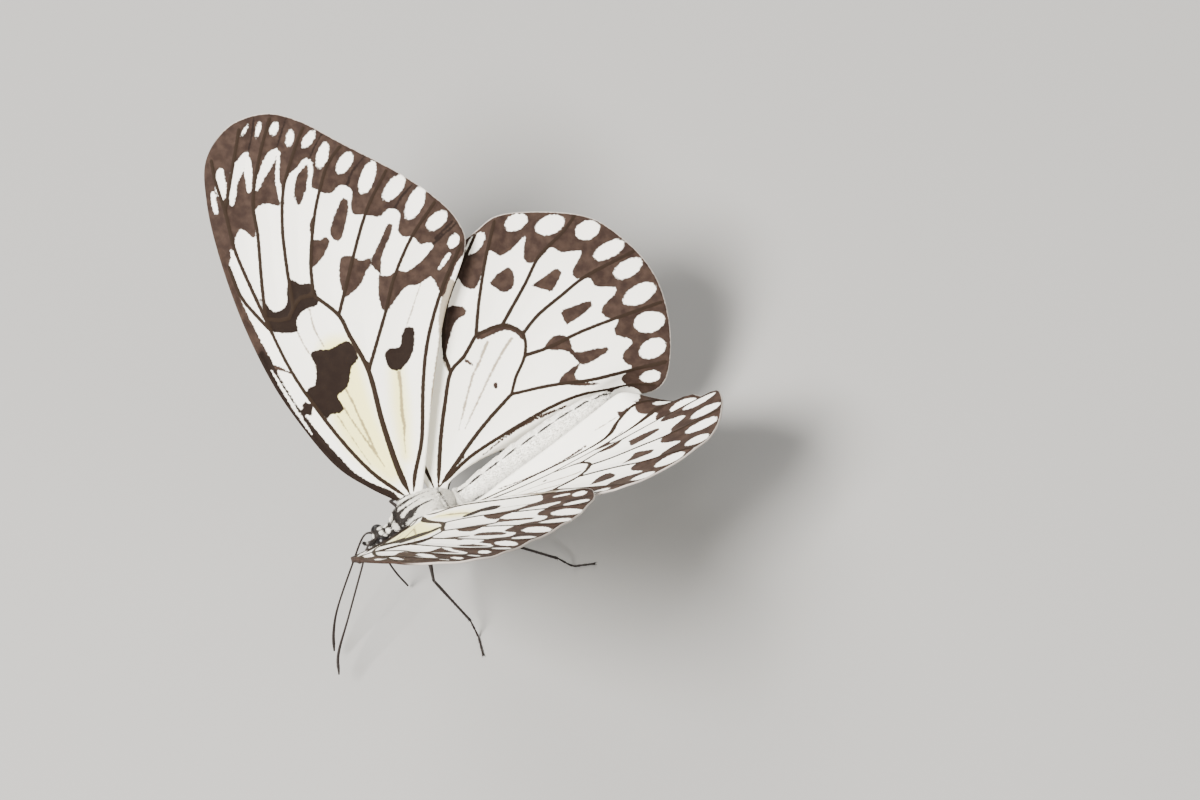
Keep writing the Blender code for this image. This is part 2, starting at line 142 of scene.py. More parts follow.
ABDOMEN_DEPTH = 1.04
ABDOMEN_RINGS = 9
RING_WAIST = 0.945  # a ring's narrowest girth, as a share of the abdomen's
RING_RISE = 0.06

# Where along Y the coats grow, and how many tufts they have
THORAX_REACH = (-5.6, 6.6)
THORAX_TUFTS = 15000
BACK_HEIGHT = 2.2  # above it the thorax's tufts are short
HEAD_REACH = (-math.inf, -5.4)
HEAD_TUFTS = 6000
PALPS_END = -8.6
FACE = (0, -9.0, -0.4)
ABDOMEN_REACH = (6.2, math.inf)
ABDOMEN_TUFTS = 9000
TAIL_START = 33.5
# A tuft's corners are three at its base, three at its middle and its tip
TUFT_POINTS = 7
TUFT_FACES = ((0, 1, 4, 3), (1, 2, 5, 4), (2, 0, 3, 5), (3, 4, 6), (4, 5, 6), (5, 3, 6))
TUFT_MAP = ((-1, 0), (1, 0), (0, 0), (-0.8, 1), (0.8, 1), (0, 1), (0, 2))
TUFT_MAP_SIZE = 0.0015
TUFT_SINK = 0.05
LIE_SCATTER = 0.16

# The body's UV map
MAP_MARGIN = 0.02
MAP_TURN = 0.9  # once round the body
MAP_FRONT = 11
MAP_LENGTH = 50

# Limbs
UP = (0, 0, 1.0)
KNEE_BEND = 0.7
COXA_RADII = (0.62, 0.60, 0.46)
FEMUR_RADII = (0.30, 0.42, 0.44, 0.36, 0.27, 0.24)
TIBIA_RADII = (0.22, 0.25, 0.22, 0.20, 0.20, 0.22)
TARSUS_RADIUS = 0.2
TARSUS_RINGS = 5
FOOT_HEIGHT = TARSUS_RADIUS - STANDING_HEIGHT + 0.01
CLAW_RADII = (0.06, 0.015)
SPUR_LENGTH = 0.6
SPUR_RADIUS = 0.05
SPINE_LENGTH = 0.36
SPINE_RADIUS = 0.035
FOOT_SPINE_LENGTH = 0.22
FOOT_SPINE_RADIUS = 0.03
SMALL_LEG_SLIM = 0.75
TONGUE_SLIM = 0.55
TONGUE_HALF = 0.1  # from the tongue's middle to each of its halves
FEELER_STEP = 0.11
FEELER_RING = 0.5
FEELER_RADII = ((0, 0.02, 0.03, 0.05, 0.6, 0.85, 0.94, 1), (0.26, 0.3, 0.2, 0.16, 0.15, 0.22, 0.25, 0.12))

# Tegulae over the wing roots, and the hips
SWELLINGS = (
    ((2.35, -0.9, 1.75), (0.75, 1.5, 0.7)),
    ((1.1, -3.2, -1.9), (0.9, 1.0, 1.1)),
    ((1.1, -0.8, -2.3), (1.0, 1.3, 1.3)),
    ((1.1, 2.4, -2.3), (1.0, 1.3, 1.3)),
)

# White marks of one side: dots as x outward, y, z and radius, the back's stripes as x outward, y and half
# width, and the flank's as y, z and half width
BODY_DOTS = (
    (0.0, -8.3, 1.0, 0.4), (0.5, -6.8, 1.55, 0.44), (0.5, -5.85, 0.95, 0.46), (1.15, -6.55, 1.0, 0.4),
    (1.5, -6.2, 0.0, 0.4), (0.84, -4.6, 1.5, 0.72), (1.6, -4.7, -0.2, 0.5), (1.4, -5.9, -0.8, 0.4),
    (1.25, -3.35, 2.25, 0.14), (1.7, -3.45, 1.7, 0.2), (0.7, -8.4, -0.5, 0.3), (0.75, -9.7, -0.9, 0.35),
)
BACK_STRIPES = (
    ((0.68, -2.5, 0.36), (0.5, -1.5, 0.32), (0.46, -0.2, 0.36), (0.46, 1.2, 0.42), (0.4, 2.8, 0.45)),
    ((2.05, -2.55, 0.36), (2.08, -1.8, 0.36), (2.06, -1.0, 0.34), (1.92, -0.3, 0.5), (1.9, 0.6, 0.74),
     (1.85, 1.8, 0.8), (1.8, 3.2, 0.8)),
    ((0.5, 3.4, 0.55), (1.6, 3.4, 0.6)),
    ((2.85, -2.2, 0.22), (2.95, -0.4, 0.24), (3.0, 1.2, 0.2)),
    ((0.0, 4.75, 0.6), (1.0, 4.8, 0.66), (2.2, 4.8, 0.6)),
    ((0.0, 5.8, 0.9), (2.0, 5.8, 0.9)),
)
BACK_LOWEST = ((2.5, 5.0), (0.4, -2.6))  # how far down the back's stripes reach, along Y
FLANK_STRIPES = (
    ((-3.6, 0.2, 0.35), (-3.2, -1.6, 0.45)),
    ((-1.7, 0.2, 0.5), (-1.9, -2.2, 0.5)),
    ((0.5, -0.8, 0.5), (0.6, -2.8, 0.5)),
    ((2.4, -0.4, 0.45), (3.0, -2.6, 0.55)),
    ((4.4, -0.4, 0.5), (5.2, -2.4, 0.6)),
)
FLANK_HIGHEST = 1.6
WAIST_START = 5.6  # from here to its end the abdomen's white sets in
WAIST_END = 6.4
BACK_LINE = 0.2  # half the width of the abdomen's broken dark line
FLANK_SPOT = 0.22
LAST_SPOT = 30

# Each wing's outline runs from the front of its root round the tip to the back of the root.
FOREWING_OUTLINE = (
    (-1.2, 1.2), (1, 2.7), (4.5, 5.0), (10, 7.7), (18, 9.1), (27, 9.6), (38, 8.6), (49.5, 6.2), (57, 3.7),
    (62.5, 0.5), (65.3, -5), (64.3, -11), (60.5, -15.3), (53.5, -19.6), (45, -24.8), (38, -28.0), (33, -28.9),
    (29, -27.4), (22, -19.5), (12, -11.2), (4, -5.2), (-1.2, -1.2),
)
HINDWING_OUTLINE = (
    (-1.2, 1.1), (8, 1.0), (17, -2), (25.5, -9), (30.4, -18), (32.1, -26), (32.1, -32), (25.7, -42.2),
    (18.5, -46.2), (11, -47.3), (3.5, -45.3), (-2.5, -41.5), (-5.2, -37.5), (-5.6, -33), (-4.4, -28),
    (-2.6, -21), (-1.0, -14), (0.3, -8), (0.3, -2.8), (-1.2, -1.0),
)
FOREWING_VEINS = {
    "radius": ((0.5, 0.8), (6.5, 3.4), (14, 5.0), (22.5, 5.9), (28, 6.0), (34, 5.5)),
    "radius_1": ((34, 5.5), (37, 6.2), (41, 6.8), (46, 6.0)),
    "radius_2": ((34, 5.5), (42.5, 4.6), (48, 3.8), (54, 2.0), (58.5, 1.0), (62, -0.2)),
    "radius_5": ((54, 2.0), (57.5, -1.0), (61, -4.0), (64, -6.5)),
    "media_1": ((36, 5.2), (41.5, 2.7), (48, -0.5), (53, -2.6), (58.5, -7), (63, -11.6)),
    "media_2": ((35.2, 0.6), (39, -0.9), (44, -3), (48, -5), (52.5, -8), (57, -12.8), (59, -15.4)),
    "media_3": ((35.3, -3.2), (40, -5.5), (45, -9), (48.5, -12), (52, -15.8), (53.4, -18.9)),
    "cubitus_1": ((30.5, -5), (33.5, -8), (39, -13.5), (43, -18), (46.3, -23.2)),
    "cubitus_2": ((20.5, -4.5), (27, -11.5), (31, -15.5), (35, -21), (38, -27.2)),
    "cubitus": ((0.5, 0), (5, -0.5), (12.5, -2.2), (20.5, -4.5), (27, -4.8), (30.5, -5), (35.3, -3.2)),
    "cell_end": ((36, 5.2), (34.6, 3.4), (34.2, 2.0), (35.2, 0.6), (36, -1.2), (35.3, -3.2)),
    "anal": ((0.5, -0.7), (3, -2.6), (7, -6.2), (14.5, -11), (20, -15.2), (25.5, -21), (30.3, -27.6)),
}
HINDWING_VEINS = {
    "subcosta": ((0.5, 0.3), (8, -0.8), (17, -4.5), (25, -11), (30.6, -19.5)),
    "radius": ((0.3, -0.3), (6.5, -4.5), (11, -8), (15, -11.5), (16, -14.5), (18, -18)),
    "radius_sector": ((15, -11.5), (19, -12.6), (25, -17), (32, -26.5)),
    "media_1": ((18, -18), (22.5, -21.3), (27.5, -25.5), (32, -29.8)),
    "media_2": ((17.2, -22.4), (21, -29), (23.5, -33), (25, -38.5), (26.2, -41.2)),
    "media_3": ((14.3, -24.5), (15.6, -28), (16.4, -33), (17, -38), (16.5, -46.4)),
    "cubitus_1": ((11.2, -23), (10.3, -27), (9.9, -32), (9, -37.5), (7.3, -46)),
    "cubitus_2": ((7, -18), (5, -24), (2.6, -29.5), (0.8, -35), (-1.2, -41.6)),
    "cubitus": ((0.3, -0.6), (2, -4.5), (4, -9), (5.5, -13), (7, -18)),
    "cell_end": ((18, -18), (17.2, -22.4), (14.3, -24.5), (11.2, -23), (9, -20), (7, -18)),
    "anal": ((0.6, -1.6), (1.8, -7), (2.1, -14), (2.0, -22), (1.0, -28), (-1.4, -32.5), (-3.9, -38.4)),
}
# How wide a vein's dark line is at its two ends, as half widths
VEIN_LINE = (0.32, 0.27)
VEIN_TAPER = 2.6  # how far from the root the lines reach their full width
FOREWING_VEIN_LINES = {
    "cubitus": (0.54, 0.32), "radius": (0.35, 0.27), "cell_end": (0.3, 0.34), "anal": (0.36, 0.3),
}
HINDWING_VEIN_LINES = {"radius": (0.38, 0.32), "cubitus_2": (0.28, 0.34), "cubitus": (0.36, 0.32)}
HINDWING_SPOT_INSET = 0.3

# Markings of the forewing. A stroke's third number is its half width there, and so is a spot's last.
FOREWING_BAND = (
    (29.4, -31), (28.4, -26.4), (26.4, -23.2), (24.4, -20.6), (26.4, -20.7), (28.2, -20.6), (28.1, -18.4),
    (28.8, -17.0), (28.7, -15.8), (28.0, -14.0), (27.0, -11.5), (29.4, -11.8), (31.4, -12.8), (32.7, -13.8),
    (31.8, -14.8), (31.8, -16.6), (30.9, -17.9), (31.2, -20.6), (32.2, -23.6), (32.9, -23.4), (33.4, -21.9),
    (35.2, -21.4), (35.9, -20.2), (37.2, -20.0), (39.2, -21.5), (40.4, -21.3), (40.9, -20.2), (40.5, -18.8),
    (41.2, -17.7), (42.1, -16.6), (42.9, -15.3), (44.2, -15.4), (46.2, -16.9), (47.4, -16.6), (48.1, -15.8),
    (47.8, -14.0), (48.6, -12.7), (49.9, -11.8), (50.0, -9.0), (50.1, -6.2), (51.2, -4.8), (51.9, -3.6),
    (51.6, -2.1), (50.0, -1.1), (48.2, -0.3), (47.9, 0.4), (49.6, 0.9), (50.2, 1.4), (49.4, 2.8), (47.6, 4.1),
    (46.6, 5.6), (44.6, 6.3), (41.0, 7.0), (36.0, 7.5), (30, 7.8), (26, 8.05), (22, 8.0), (18, 7.6),
    (14, 7.0), (10, 6.25), (8, 5.75), (6, 4.85), (4, 3.5), (2, 2.1), (-2, 1.4), (-4, 4), (5, 14), (40, 16),
    (75, 5), (72, -25), (50, -34),
)
FOREWING_SPOTS = (
    (63.0, -6.5, 63.8, -7.9, 0.28), (61.8, -8.5, 63.2, -9.9, 0.42), (60.7, -10.8, 61.8, -12.1, 0.62),
    (58.0, -12.2, 59.4, -13.4, 0.62), (56.5, -14.2, 57.5, -16.3, 0.75), (52.5, -14.6, 54.8, -17.0, 0.9),
    (50.2, -17.0, 51.4, -19.5, 1.0), (45.6, -18.5, 48.2, -21.7, 1.15), (42.7, -21.2, 44.0, -24.6, 1.2),
    (38.4, -22.9, 40.7, -26.2, 1.25), (35.1, -24.7, 35.6, -27.4, 1.12), (30.8, -26.0, 31.6, -27.3, 0.8),
)
FOREWING_WHITES = (
    ((49.4, -7.2, 0.7), (51.2, -8.2, 0.75), (53.0, -9.8, 0.6), (53.7, -11.4, 0.35), (54.2, -13.1, 0.45)),
    ((48.8, -10.6, 0.6), (50.6, -11.5, 0.35), (52.4, -12.9, 0.35), (53.9, -13.6, 0.3)),
    ((54.4, -4.1, 0.25), (55.7, -5.7, 0.5), (56.8, -7.3, 0.75), (57.8, -9.0, 0.65), (58.1, -9.8, 0.4)),
    ((50.6, -6.5, 0.4), (52.6, -7.2, 0.35), (54.4, -7.9, 0.3), (56.2, -9.1, 0.27), (57.6, -10.0, 0.27)),
    ((54.4, 0.5, 0.3), (55.8, -0.5, 0.55), (57.4, -1.6, 0.7), (58.7, -3.2, 0.85), (59.6, -4.7, 0.6),
     (60.2, -5.7, 0.3)),
    ((54.8, -2.9, 0.3), (56.2, -3.7, 0.5), (57.8, -4.5, 0.6), (59.4, -5.2, 0.5)),
    ((56.0, 1.2, 0.4), (57.2, 0.8, 0.75), (58.6, 0.2, 0.75), (59.8, -0.6, 0.5)),
    ((54.6, 3.3, 0.28), (56.0, 2.85, 0.4), (57.4, 2.25, 0.28)),
    ((46.0, 4.8, 0.2), (47.2, 4.6, 0.3), (48.1, 4.35, 0.2)),
    ((28.6, -22.4, 0.15), (29.3, -24.0, 0.3), (29.8, -25.0, 0.2)),
)
FOREWING_WEDGES = (
    ((49.1, -8.7, 0.4), (50.2, -9.6, 0.65), (51.8, -10.9, 0.6), (53.4, -12.4, 0.2)),
    ((26.3, 6.0, 0.22), (27.4, 6.9, 0.24), (28.6, 7.9, 0.36)),
    ((43.9, -7.9, 0.15), (45.0, -8.6, 0.35), (45.9, -9.5, 0.1)),
)
FOREWING_PATCHES = (
    ((39.0, -5.2), (39.5, -7.0), (40.3, -8.6), (41.4, -9.9), (42.4, -9.8), (42.3, -8.5), (42.9, -7.8),
     (42.6, -7.0), (40.8, -5.8)),
    ((40.5, -11.0), (41.2, -10.4), (42.6, -10.5), (44.0, -12.0), (45.6, -14.0), (46.2, -15.2), (45.4, -15.6),
     (43.6, -14.6), (42.0, -13.0), (41.0, -11.9)),
    ((32.2, -7.3), (32.6, -9.6), (33.4, -11.4), (34.2, -12.3), (34.9, -13.8), (35.8, -13.9), (36.1, -12.6),
     (37.6, -11.5), (38.2, -10.1), (37.2, -9.1), (35.6, -8.1), (33.6, -7.4)),
    ((32.6, -14.1), (34.4, -13.6), (35.6, -14.2), (37.0, -16.2), (38.2, -18.0), (39.0, -19.2), (38.4, -19.7),
     (37.2, -18.6), (36.0, -17.0), (34.6, -15.4)),
)
FOREWING_DEEP_PATCHES = (
    ((17.1, 5.3), (22.7, 5.7), (22.9, 4.2), (23.7, 3.3), (25.6, 2.3), (27.6, 2.0), (27.3, 0.2), (26.6, -1.2),
     (26.2, -4.3), (23.0, -4.2), (22.5, -2.6), (20.6, -1.0), (19.8, 0.4), (19.6, 1.7), (17.3, 1.9),
     (17.0, 2.8), (17.6, 4.2)),
    ((18.0, -8.9), (18.6, -7.8), (20.0, -7.5), (21.5, -8.1), (21.9, -9.3), (21.2, -10.6), (22.4, -11.7),
     (23.5, -13.1), (22.6, -14.1), (21.0, -13.4), (19.2, -11.8), (18.3, -10.2)),
    ((33.6, 5.4), (32.6, 4.1), (31.6, 1.9), (33.0, 1.3), (34.0, -0.6), (33.7, -3.0), (35.4, -3.9),
     (37.3, -3.6), (37.8, -2.4), (39.4, -1.4), (38.6, -0.2), (36.7, 0.8), (35.9, 2.0), (36.3, 3.5),
     (38.6, 4.1), (36.0, 5.2)),
    ((19.3, 8.1), (20.9, 8.1), (20.6, 7.5), (21.4, 7.3), (21.5, 6.7), (20.9, 6.2), (20.7, 5.6), (20.0, 5.6),
     (20.0, 6.2), (19.6, 6.5), (18.9, 7.0), (19.3, 7.3), (19.8, 7.5)),
    ((-2, 1.4), (2, 2.1), (4, 3.5), (6, 4.85), (8, 5.75), (10, 6.25), (14, 7.0), (18, 7.6), (22, 8.0),
     (27, 8.05), (30, 7.9), (32, 8.6), (28, 11), (10, 10), (0, 6), (-3, 3)),
)
# A painted highlight: a pale streak between the two veins of the front margin, cut out of the dark band
FOREWING_PAINTED_HIGHLIGHT = ((16.5, 8.4, 0.08), (19, 8.55, 0.2), (23, 8.7, 0.2), (28.5, 8.65, 0.08))
# Fine dark lines: the folds between the veins, the rays in the cell, and painted shade at the hind margin
FOREWING_FOLDS = (
    ((40.3, -21.0, 0.22), (41.6, -23.4, 0.18), (42.5, -26.4, 0.12)),
    ((47.4, -16.5, 0.22), (49.0, -18.6, 0.18), (50.1, -21.6, 0.12)),
    ((32.5, -23.8, 0.2), (33.4, -28.4, 0.16)),
    ((33.1, -24.4, 0.16), (34.0, -28.2, 0.12)),
    ((54.3, -13.8, 0.16), (55.6, -15.6, 0.16), (56.8, -17.8, 0.1)),
    ((58.3, -10.1, 0.15), (60.0, -11.9, 0.15), (61.9, -14.1, 0.1)),
    ((60.2, -5.9, 0.15), (62.4, -8.0, 0.15), (65.0, -9.9, 0.1)),
)
FOREWING_SHADES = (
    ((19.8, 0.1, 0.18), (17, 0.3, 0.16), (14, 0.65, 0.19), (10.5, 0.95, 0.18), (8.5, 1.15, 0.1)),
    ((17.6, 1.9, 0.2), (14, 1.75, 0.16), (11, 1.5, 0.2), (9, 1.35, 0.18), (6.2, 1.15, 0.06)),
    ((17.0, 3.4, 0.1), (12.0, 3.2, 0.06), (7.0, 2.85, 0.02)),
    ((32.6, 1.9, 0.12), (29, 2.2, 0.12), (27.5, 2.1, 0.1)),
    ((33.7, -1.5, 0.14), (30.9, -0.6, 0.12), (27.5, -0.4, 0.1)),
    # Painted see-through shade: the hindwing's dark patch under the forewing's hind margin, shown as a smoky
    # stroke
    ((8.0, -8.3, 0.15), (13.0, -12.0, 0.25), (18.0, -16.3, 0.45), (22.6, -19.9, 0.9), (25.6, -22.8, 0.8)),
    ((6.3, -2.8, 0.04), (8.2, -3.7, 0.12), (10.2, -4.9, 0.25), (12.2, -5.7, 0.32), (15.4, -7.4, 0.28),
     (17.8, -8.5, 0.34)),
    ((23.4, -13.2, 0.12), (25.8, -16.0, 0.1), (28.2, -18.8, 0.12)),
)
FOREWING_STRAW = (
    ((25, -1.5, 3.0), (14, 1.4, 3.2), (5, 0.8, 1.6)),
    ((18.1, -8.2, 0.9), (12.0, -5.4, 1.1), (6.0, -2.6, 0.7)),
)

# Markings of the hindwing
HINDWING_BAND = (
    (36, -12), (29.4, -19.4), (27.4, -20.2), (25.4, -20.4), (24.4, -21.6), (25.4, -23.4), (27.2, -25.2),
    (28.4, -26.8), (26.9, -27.6), (26.6, -29.4), (27.2, -31.6), (27.4, -32.8), (26.2, -31.8), (24.6, -30.8),
    (23.2, -31.2), (23.2, -33.2), (23.9, -35.4), (22.4, -36.3), (21.5, -38.0), (20.8, -39.3), (19.9, -38.2),
    (19.2, -36.8), (18.2, -36.1), (17.0, -36.6), (16.4, -38.2), (14.9, -38.2), (14.0, -39.4), (13.0, -41.0),
    (12.3, -40.4), (11.8, -38.6), (10.8, -36.9), (9.3, -37.5), (8.4, -38.7), (7.5, -37.3), (6.6, -37.0),
    (5.2, -38.3), (4.2, -38.8), (3.6, -37.0), (2.9, -36.1), (1.6, -36.2), (0.8, -36.8), (0.1, -34.6),
    (-1.2, -34.2), (-2.6, -34.6), (-4.0, -35.6), (-8, -37), (-9, -44), (5, -54), (25, -52), (40, -35),
)
HINDWING_SPOTS = (
    (29.9, -23.6, 31.2, -27.2, 1.35), (30.15, -31.2, 30.0, -34.2, 1.55), (27.3, -35.2, 26.6, -39.0, 1.75),
    (23.4, -40.4, 22.9, -43.2, 1.75), (18.8, -40.6, 18.6, -45.6, 1.5), (14.6, -42.0, 14.6, -46.4, 1.62),
    (10.3, -41.3, 10.1, -46.1, 1.75), (6.2, -41.0, 4.9, -44.5, 1.95), (1.8, -39.3, 1.5, -42.8, 1.75),
    (-2.1, -37.2, -2.4, -39.6, 1.3),
)
HINDWING_PATCHES = (
    ((24.0, -24.0), (24.5, -25.6), (24.6, -28.0), (23.6, -28.3), (21.8, -27.4), (21.3, -26.2), (21.7, -25.0)),
    ((20.2, -29.4), (20.5, -34.5), (19.6, -34.9), (17.7, -32.0), (18.4, -31.2)),
    ((11.9, -31.3), (14.1, -31.4), (14.1, -33.0), (13.3, -36.5), (12.5, -36.4), (11.9, -33.8)),
    ((10.8, -26.2), (11.5, -28.2), (11.0, -29.8), (9.8, -30.4), (7.6, -30.2), (6.2, -33.6), (5.4, -35.0),
     (4.8, -34.0), (5.0, -30.4), (6.6, -29.6), (8.4, -29.0), (9.6, -27.2)),
    ((4.7, -25.2), (5.4, -26.6), (5.6, -29.9), (4.5, -28.3), (3.2, -28.3), (0.8, -31.6), (2.3, -28.4),
     (3.6, -26.6)),
    ((-0.9, -31.3), (-2.6, -31.4), (-1.9, -32.6), (-3.6, -35.2), (-4.4, -36.2), (-1.2, -32.2)),
)
HINDWING_WEDGES = (
    ((13.9, -24.2, 0.4), (15.6, -23.7, 0.5), (16.9, -22.4, 0.6), (17.1, -20.4, 0.5), (17.5, -18.3, 0.55)),
    ((17.2, -11.6, 0.2), (19.4, -13.2, 0.5), (21.6, -14.8, 0.9), (22.8, -16.4, 1.3), (22.4, -17.9, 0.8)),
    ((0.9, -9.0, 0.1), (1.7, -14.0, 0.25), (1.7, -19.0, 0.3), (0.7, -24.4, 0.22)),
    ((14.2, -15.0, 0.2), (15.9, -14.3, 0.25)),
    ((9.3, -16.5, 0.35), (9.7, -16.6, 0.35)),
)
HINDWING_SHADES = (
    ((16.1, -19.0, 0.24), (14.0, -16.2, 0.22), (12.6, -14.1, 0.2), (9.3, -10.7, 0.15), (6.4, -7.8, 0.06)),
    ((14.6, -22.6, 0.25), (13.1, -19.5, 0.22), (11.0, -16.1, 0.2), (6.1, -8.8, 0.06)),
    ((15.0, -11.4, 0.25), (17.2, -11.5, 0.2)),
    ((-1.0, -27.0, 0.1), (-1.4, -31.2, 0.14)),
)

# Colours
CREAM = (0.90, 0.87, 0.79)
STRAW = (0.84, 0.77, 0.28)
WHITE_HAIR = ((0.74, 0.71, 0.63), (0.90, 0.88, 0.82))
BLACK_HAIR = ((0.010, 0.008, 0.007), (0.035, 0.028, 0.024))
HAIR_STRETCH = 0.35
EYE_COLOURS = ((0.005, 0.004, 0.004), (0.020, 0.012, 0.009))
LIMB_COLOURS = ((0.004, 0.003, 0.003), (0.022, 0.015, 0.012))
BROWN = (0.022, 0.013, 0.010)
PALE_BROWN = (0.042, 0.026, 0.019)
DARK = (0.009, 0.0055, 0.004)
VEIN_BROWN = (0.018, 0.011, 0.007)
# The colour of the rays, and of the painted see-through shade along the forewing's hind margin
SMOKE = (0.16, 0.115, 0.06)
DUST = (0.76, 0.72, 0.62)
FRINGE = (0.62, 0.56, 0.50)
FLOOR = (0.25, 0.245, 0.235)
SKY = (0.95, 0.97, 1.0, 1.0)
LAMP = (1.0, 0.98, 0.95)

# Camera and lights, in metres. The camera looks past the thorax's middle, this far aside and above.
CAMERA_RIGHT = (0.412, 0.857, -0.309)
CAMERA_BACK = (0.6, 0.0, 0.8)
CAMERA_DISTANCE = 0.70
CAMERA_ASIDE = 0.02862
CAMERA_ABOVE = 0.01797
CAMERA_LENS = 132.1
SENSOR_WIDTH = 36.0
FLOOR_SIZE = 6.0
SKY_STRENGTH = 0.4
LIGHTS = (  # name, place, power and size
    ("key", (0.15, -0.35, 0.75), 30.0, 0.35),
    ("fill", (0.6, 0.5, 0.4), 5.0, 0.6),
    ("back", (-0.6, 0.1, 0.5), 6.0, 0.5),
)
LIT_HEIGHT = 0.02  # above the thorax's middle


# Shapes in the flat wing's plane


def smooth_path(points, step):
    """Catmull-Rom curve through the points, as an array with a point about every step."""
    points = np.array(points, float)
    ends = np.vstack([2 * points[0] - points[1], points, 2 * points[-1] - points[-2]])
    path = [points[0]]
    for before, start, end, after in zip(ends, ends[1:], ends[2:], ends[3:]):
        count = max(1, round(np.linalg.norm(end - start) / step))
        for t in np.arange(1, count + 1) / count:
            bend = (2 * before - 5 * start + 4 * end - after) * t**2
            twist = (3 * start - before - 3 * end + after) * t**3
            path.append(0.5 * (2 * start + (end - before) * t + bend + twist))
    return np.array(path)


def inside_stroke(points, path):
    """How far inside a tapered stroke each point is, and so negative outside it."""
    found = np.full(len(points), NONE)
    for start, end in zip(path, path[1:]):
        run = end[:2] - start[:2]
        near = np.abs(points - (start[:2] + end[:2]) / 2).max(axis=1) < STROKE_RANGE + np.abs(run).max()
        away = points[near] - start[:2]
        t = np.clip(away @ run / max(run @ run, 1e-9), 0, 1)
        off = np.linalg.norm(away - t[:, None] * run, axis=1)
        found[near] = np.maximum(found[near], start[2] + (end[2] - start[2]) * t - off)
    return found


def away_from(points, path):
    """How far each point is from a path."""
    return -inside_stroke(points, np.column_stack([path, np.zeros(len(path))]))


def inside_loop(points, outline):
    """Which of the points lie inside a closed outline."""
    crossings = np.zeros(len(points), int)
    for (x0, y0), (x1, y1) in zip(outline, np.roll(outline, -1, axis=0)):
        spans = (y0 > points[:, 1]) != (y1 > points[:, 1])
        at = x0 + (points[:, 1] - y0) / (y1 - y0 if y1 != y0 else 1) * (x1 - x0)
        crossings += spans & (points[:, 0] < at)
    return crossings % 2 == 1


def inside_patch(points, outline):
    """How far inside a smooth closed patch each point is."""
    loop = smooth_path(outline + outline[:1], PATCH_STEP)
    off = away_from(points, loop)
    return np.where(inside_loop(points, loop[:-1]), off, -off)


def inside_any(points, shapes, measure):
    found = np.full(len(points), NONE)
    for shape in shapes:
        found = np.maximum(found, measure(points, shape))
    return found


def inside_smooth_stroke(points, shape):
    return inside_stroke(points, smooth_path(shape, STROKE_STEP))


def inside_spot(points, spot):
    """A rounded spot between two points, whose last number is its half width."""
    start, end, half = np.array(spot[:2]), np.array(spot[2:4]), spot[4]
    middle, run = (start + end) / 2, end - start
    length = np.linalg.norm(run) / 2 + half * 0.55
    along = (points - middle) @ run / np.linalg.norm(run)
    across = np.linalg.norm(points - middle, axis=1) ** 2 - along**2
    return (1 - np.sqrt((along / length) ** 2 + np.maximum(across, 0) / half**2)) * half


def vein_lines(points, veins, lines):
    found = np.full(len(points), NONE)
    for name, path in veins.items():
        path = smooth_path(path, LINE_STEP)
        widths = np.linspace(*lines.get(name, VEIN_LINE), len(path))
        widths *= np.clip(np.hypot(*path.T) / VEIN_TAPER, 0.2, 1)
        found = np.maximum(found, inside_stroke(points, np.column_stack([path, widths])))
    return found


def forewing_markings(points):
    dark = inside_patch(points, FOREWING_BAND)
    dark = np.minimum(dark, -inside_any(points, FOREWING_SPOTS, inside_spot))
    dark = np.minimum(dark, -inside_any(points, FOREWING_WHITES, inside_smooth_stroke))
    dark = np.maximum(dark, inside_any(points, FOREWING_WEDGES, inside_smooth_stroke))
    dark = np.maximum(dark, inside_any(points, FOREWING_PATCHES, inside_patch))
    deep = inside_any(points, FOREWING_DEEP_PATCHES, inside_patch)
    # The pale streak along the front margin is a painted highlight, cut out of the dark band
    painted_highlight = inside_smooth_stroke(points, FOREWING_PAINTED_HIGHLIGHT)
    return {
        "dark": np.minimum(np.maximum(dark, deep), -painted_highlight),
        "deep": np.maximum(deep, inside_any(points, FOREWING_FOLDS, inside_smooth_stroke)),
        "vein": vein_lines(points, FOREWING_VEINS, FOREWING_VEIN_LINES),
        "shade": inside_any(points, FOREWING_SHADES, inside_smooth_stroke),
        "straw": inside_any(points, FOREWING_STRAW, inside_smooth_stroke),
    }


def hindwing_markings(points):
    dark = inside_patch(points, HINDWING_BAND)
    dark = np.minimum(dark, HINDWING_SPOT_INSET - inside_any(points, HINDWING_SPOTS, inside_spot))
    dark = np.maximum(dark, inside_any(points, HINDWING_PATCHES, inside_patch))
    dark = np.maximum(dark, inside_any(points, HINDWING_WEDGES, inside_smooth_stroke))
    none = np.full(len(points), NONE)
    return {
        "dark": dark,
        "deep": none,
        "vein": vein_lines(points, HINDWING_VEINS, HINDWING_VEIN_LINES),
        "shade": inside_any(points, HINDWING_SHADES, inside_smooth_stroke),
        "straw": none,
    }


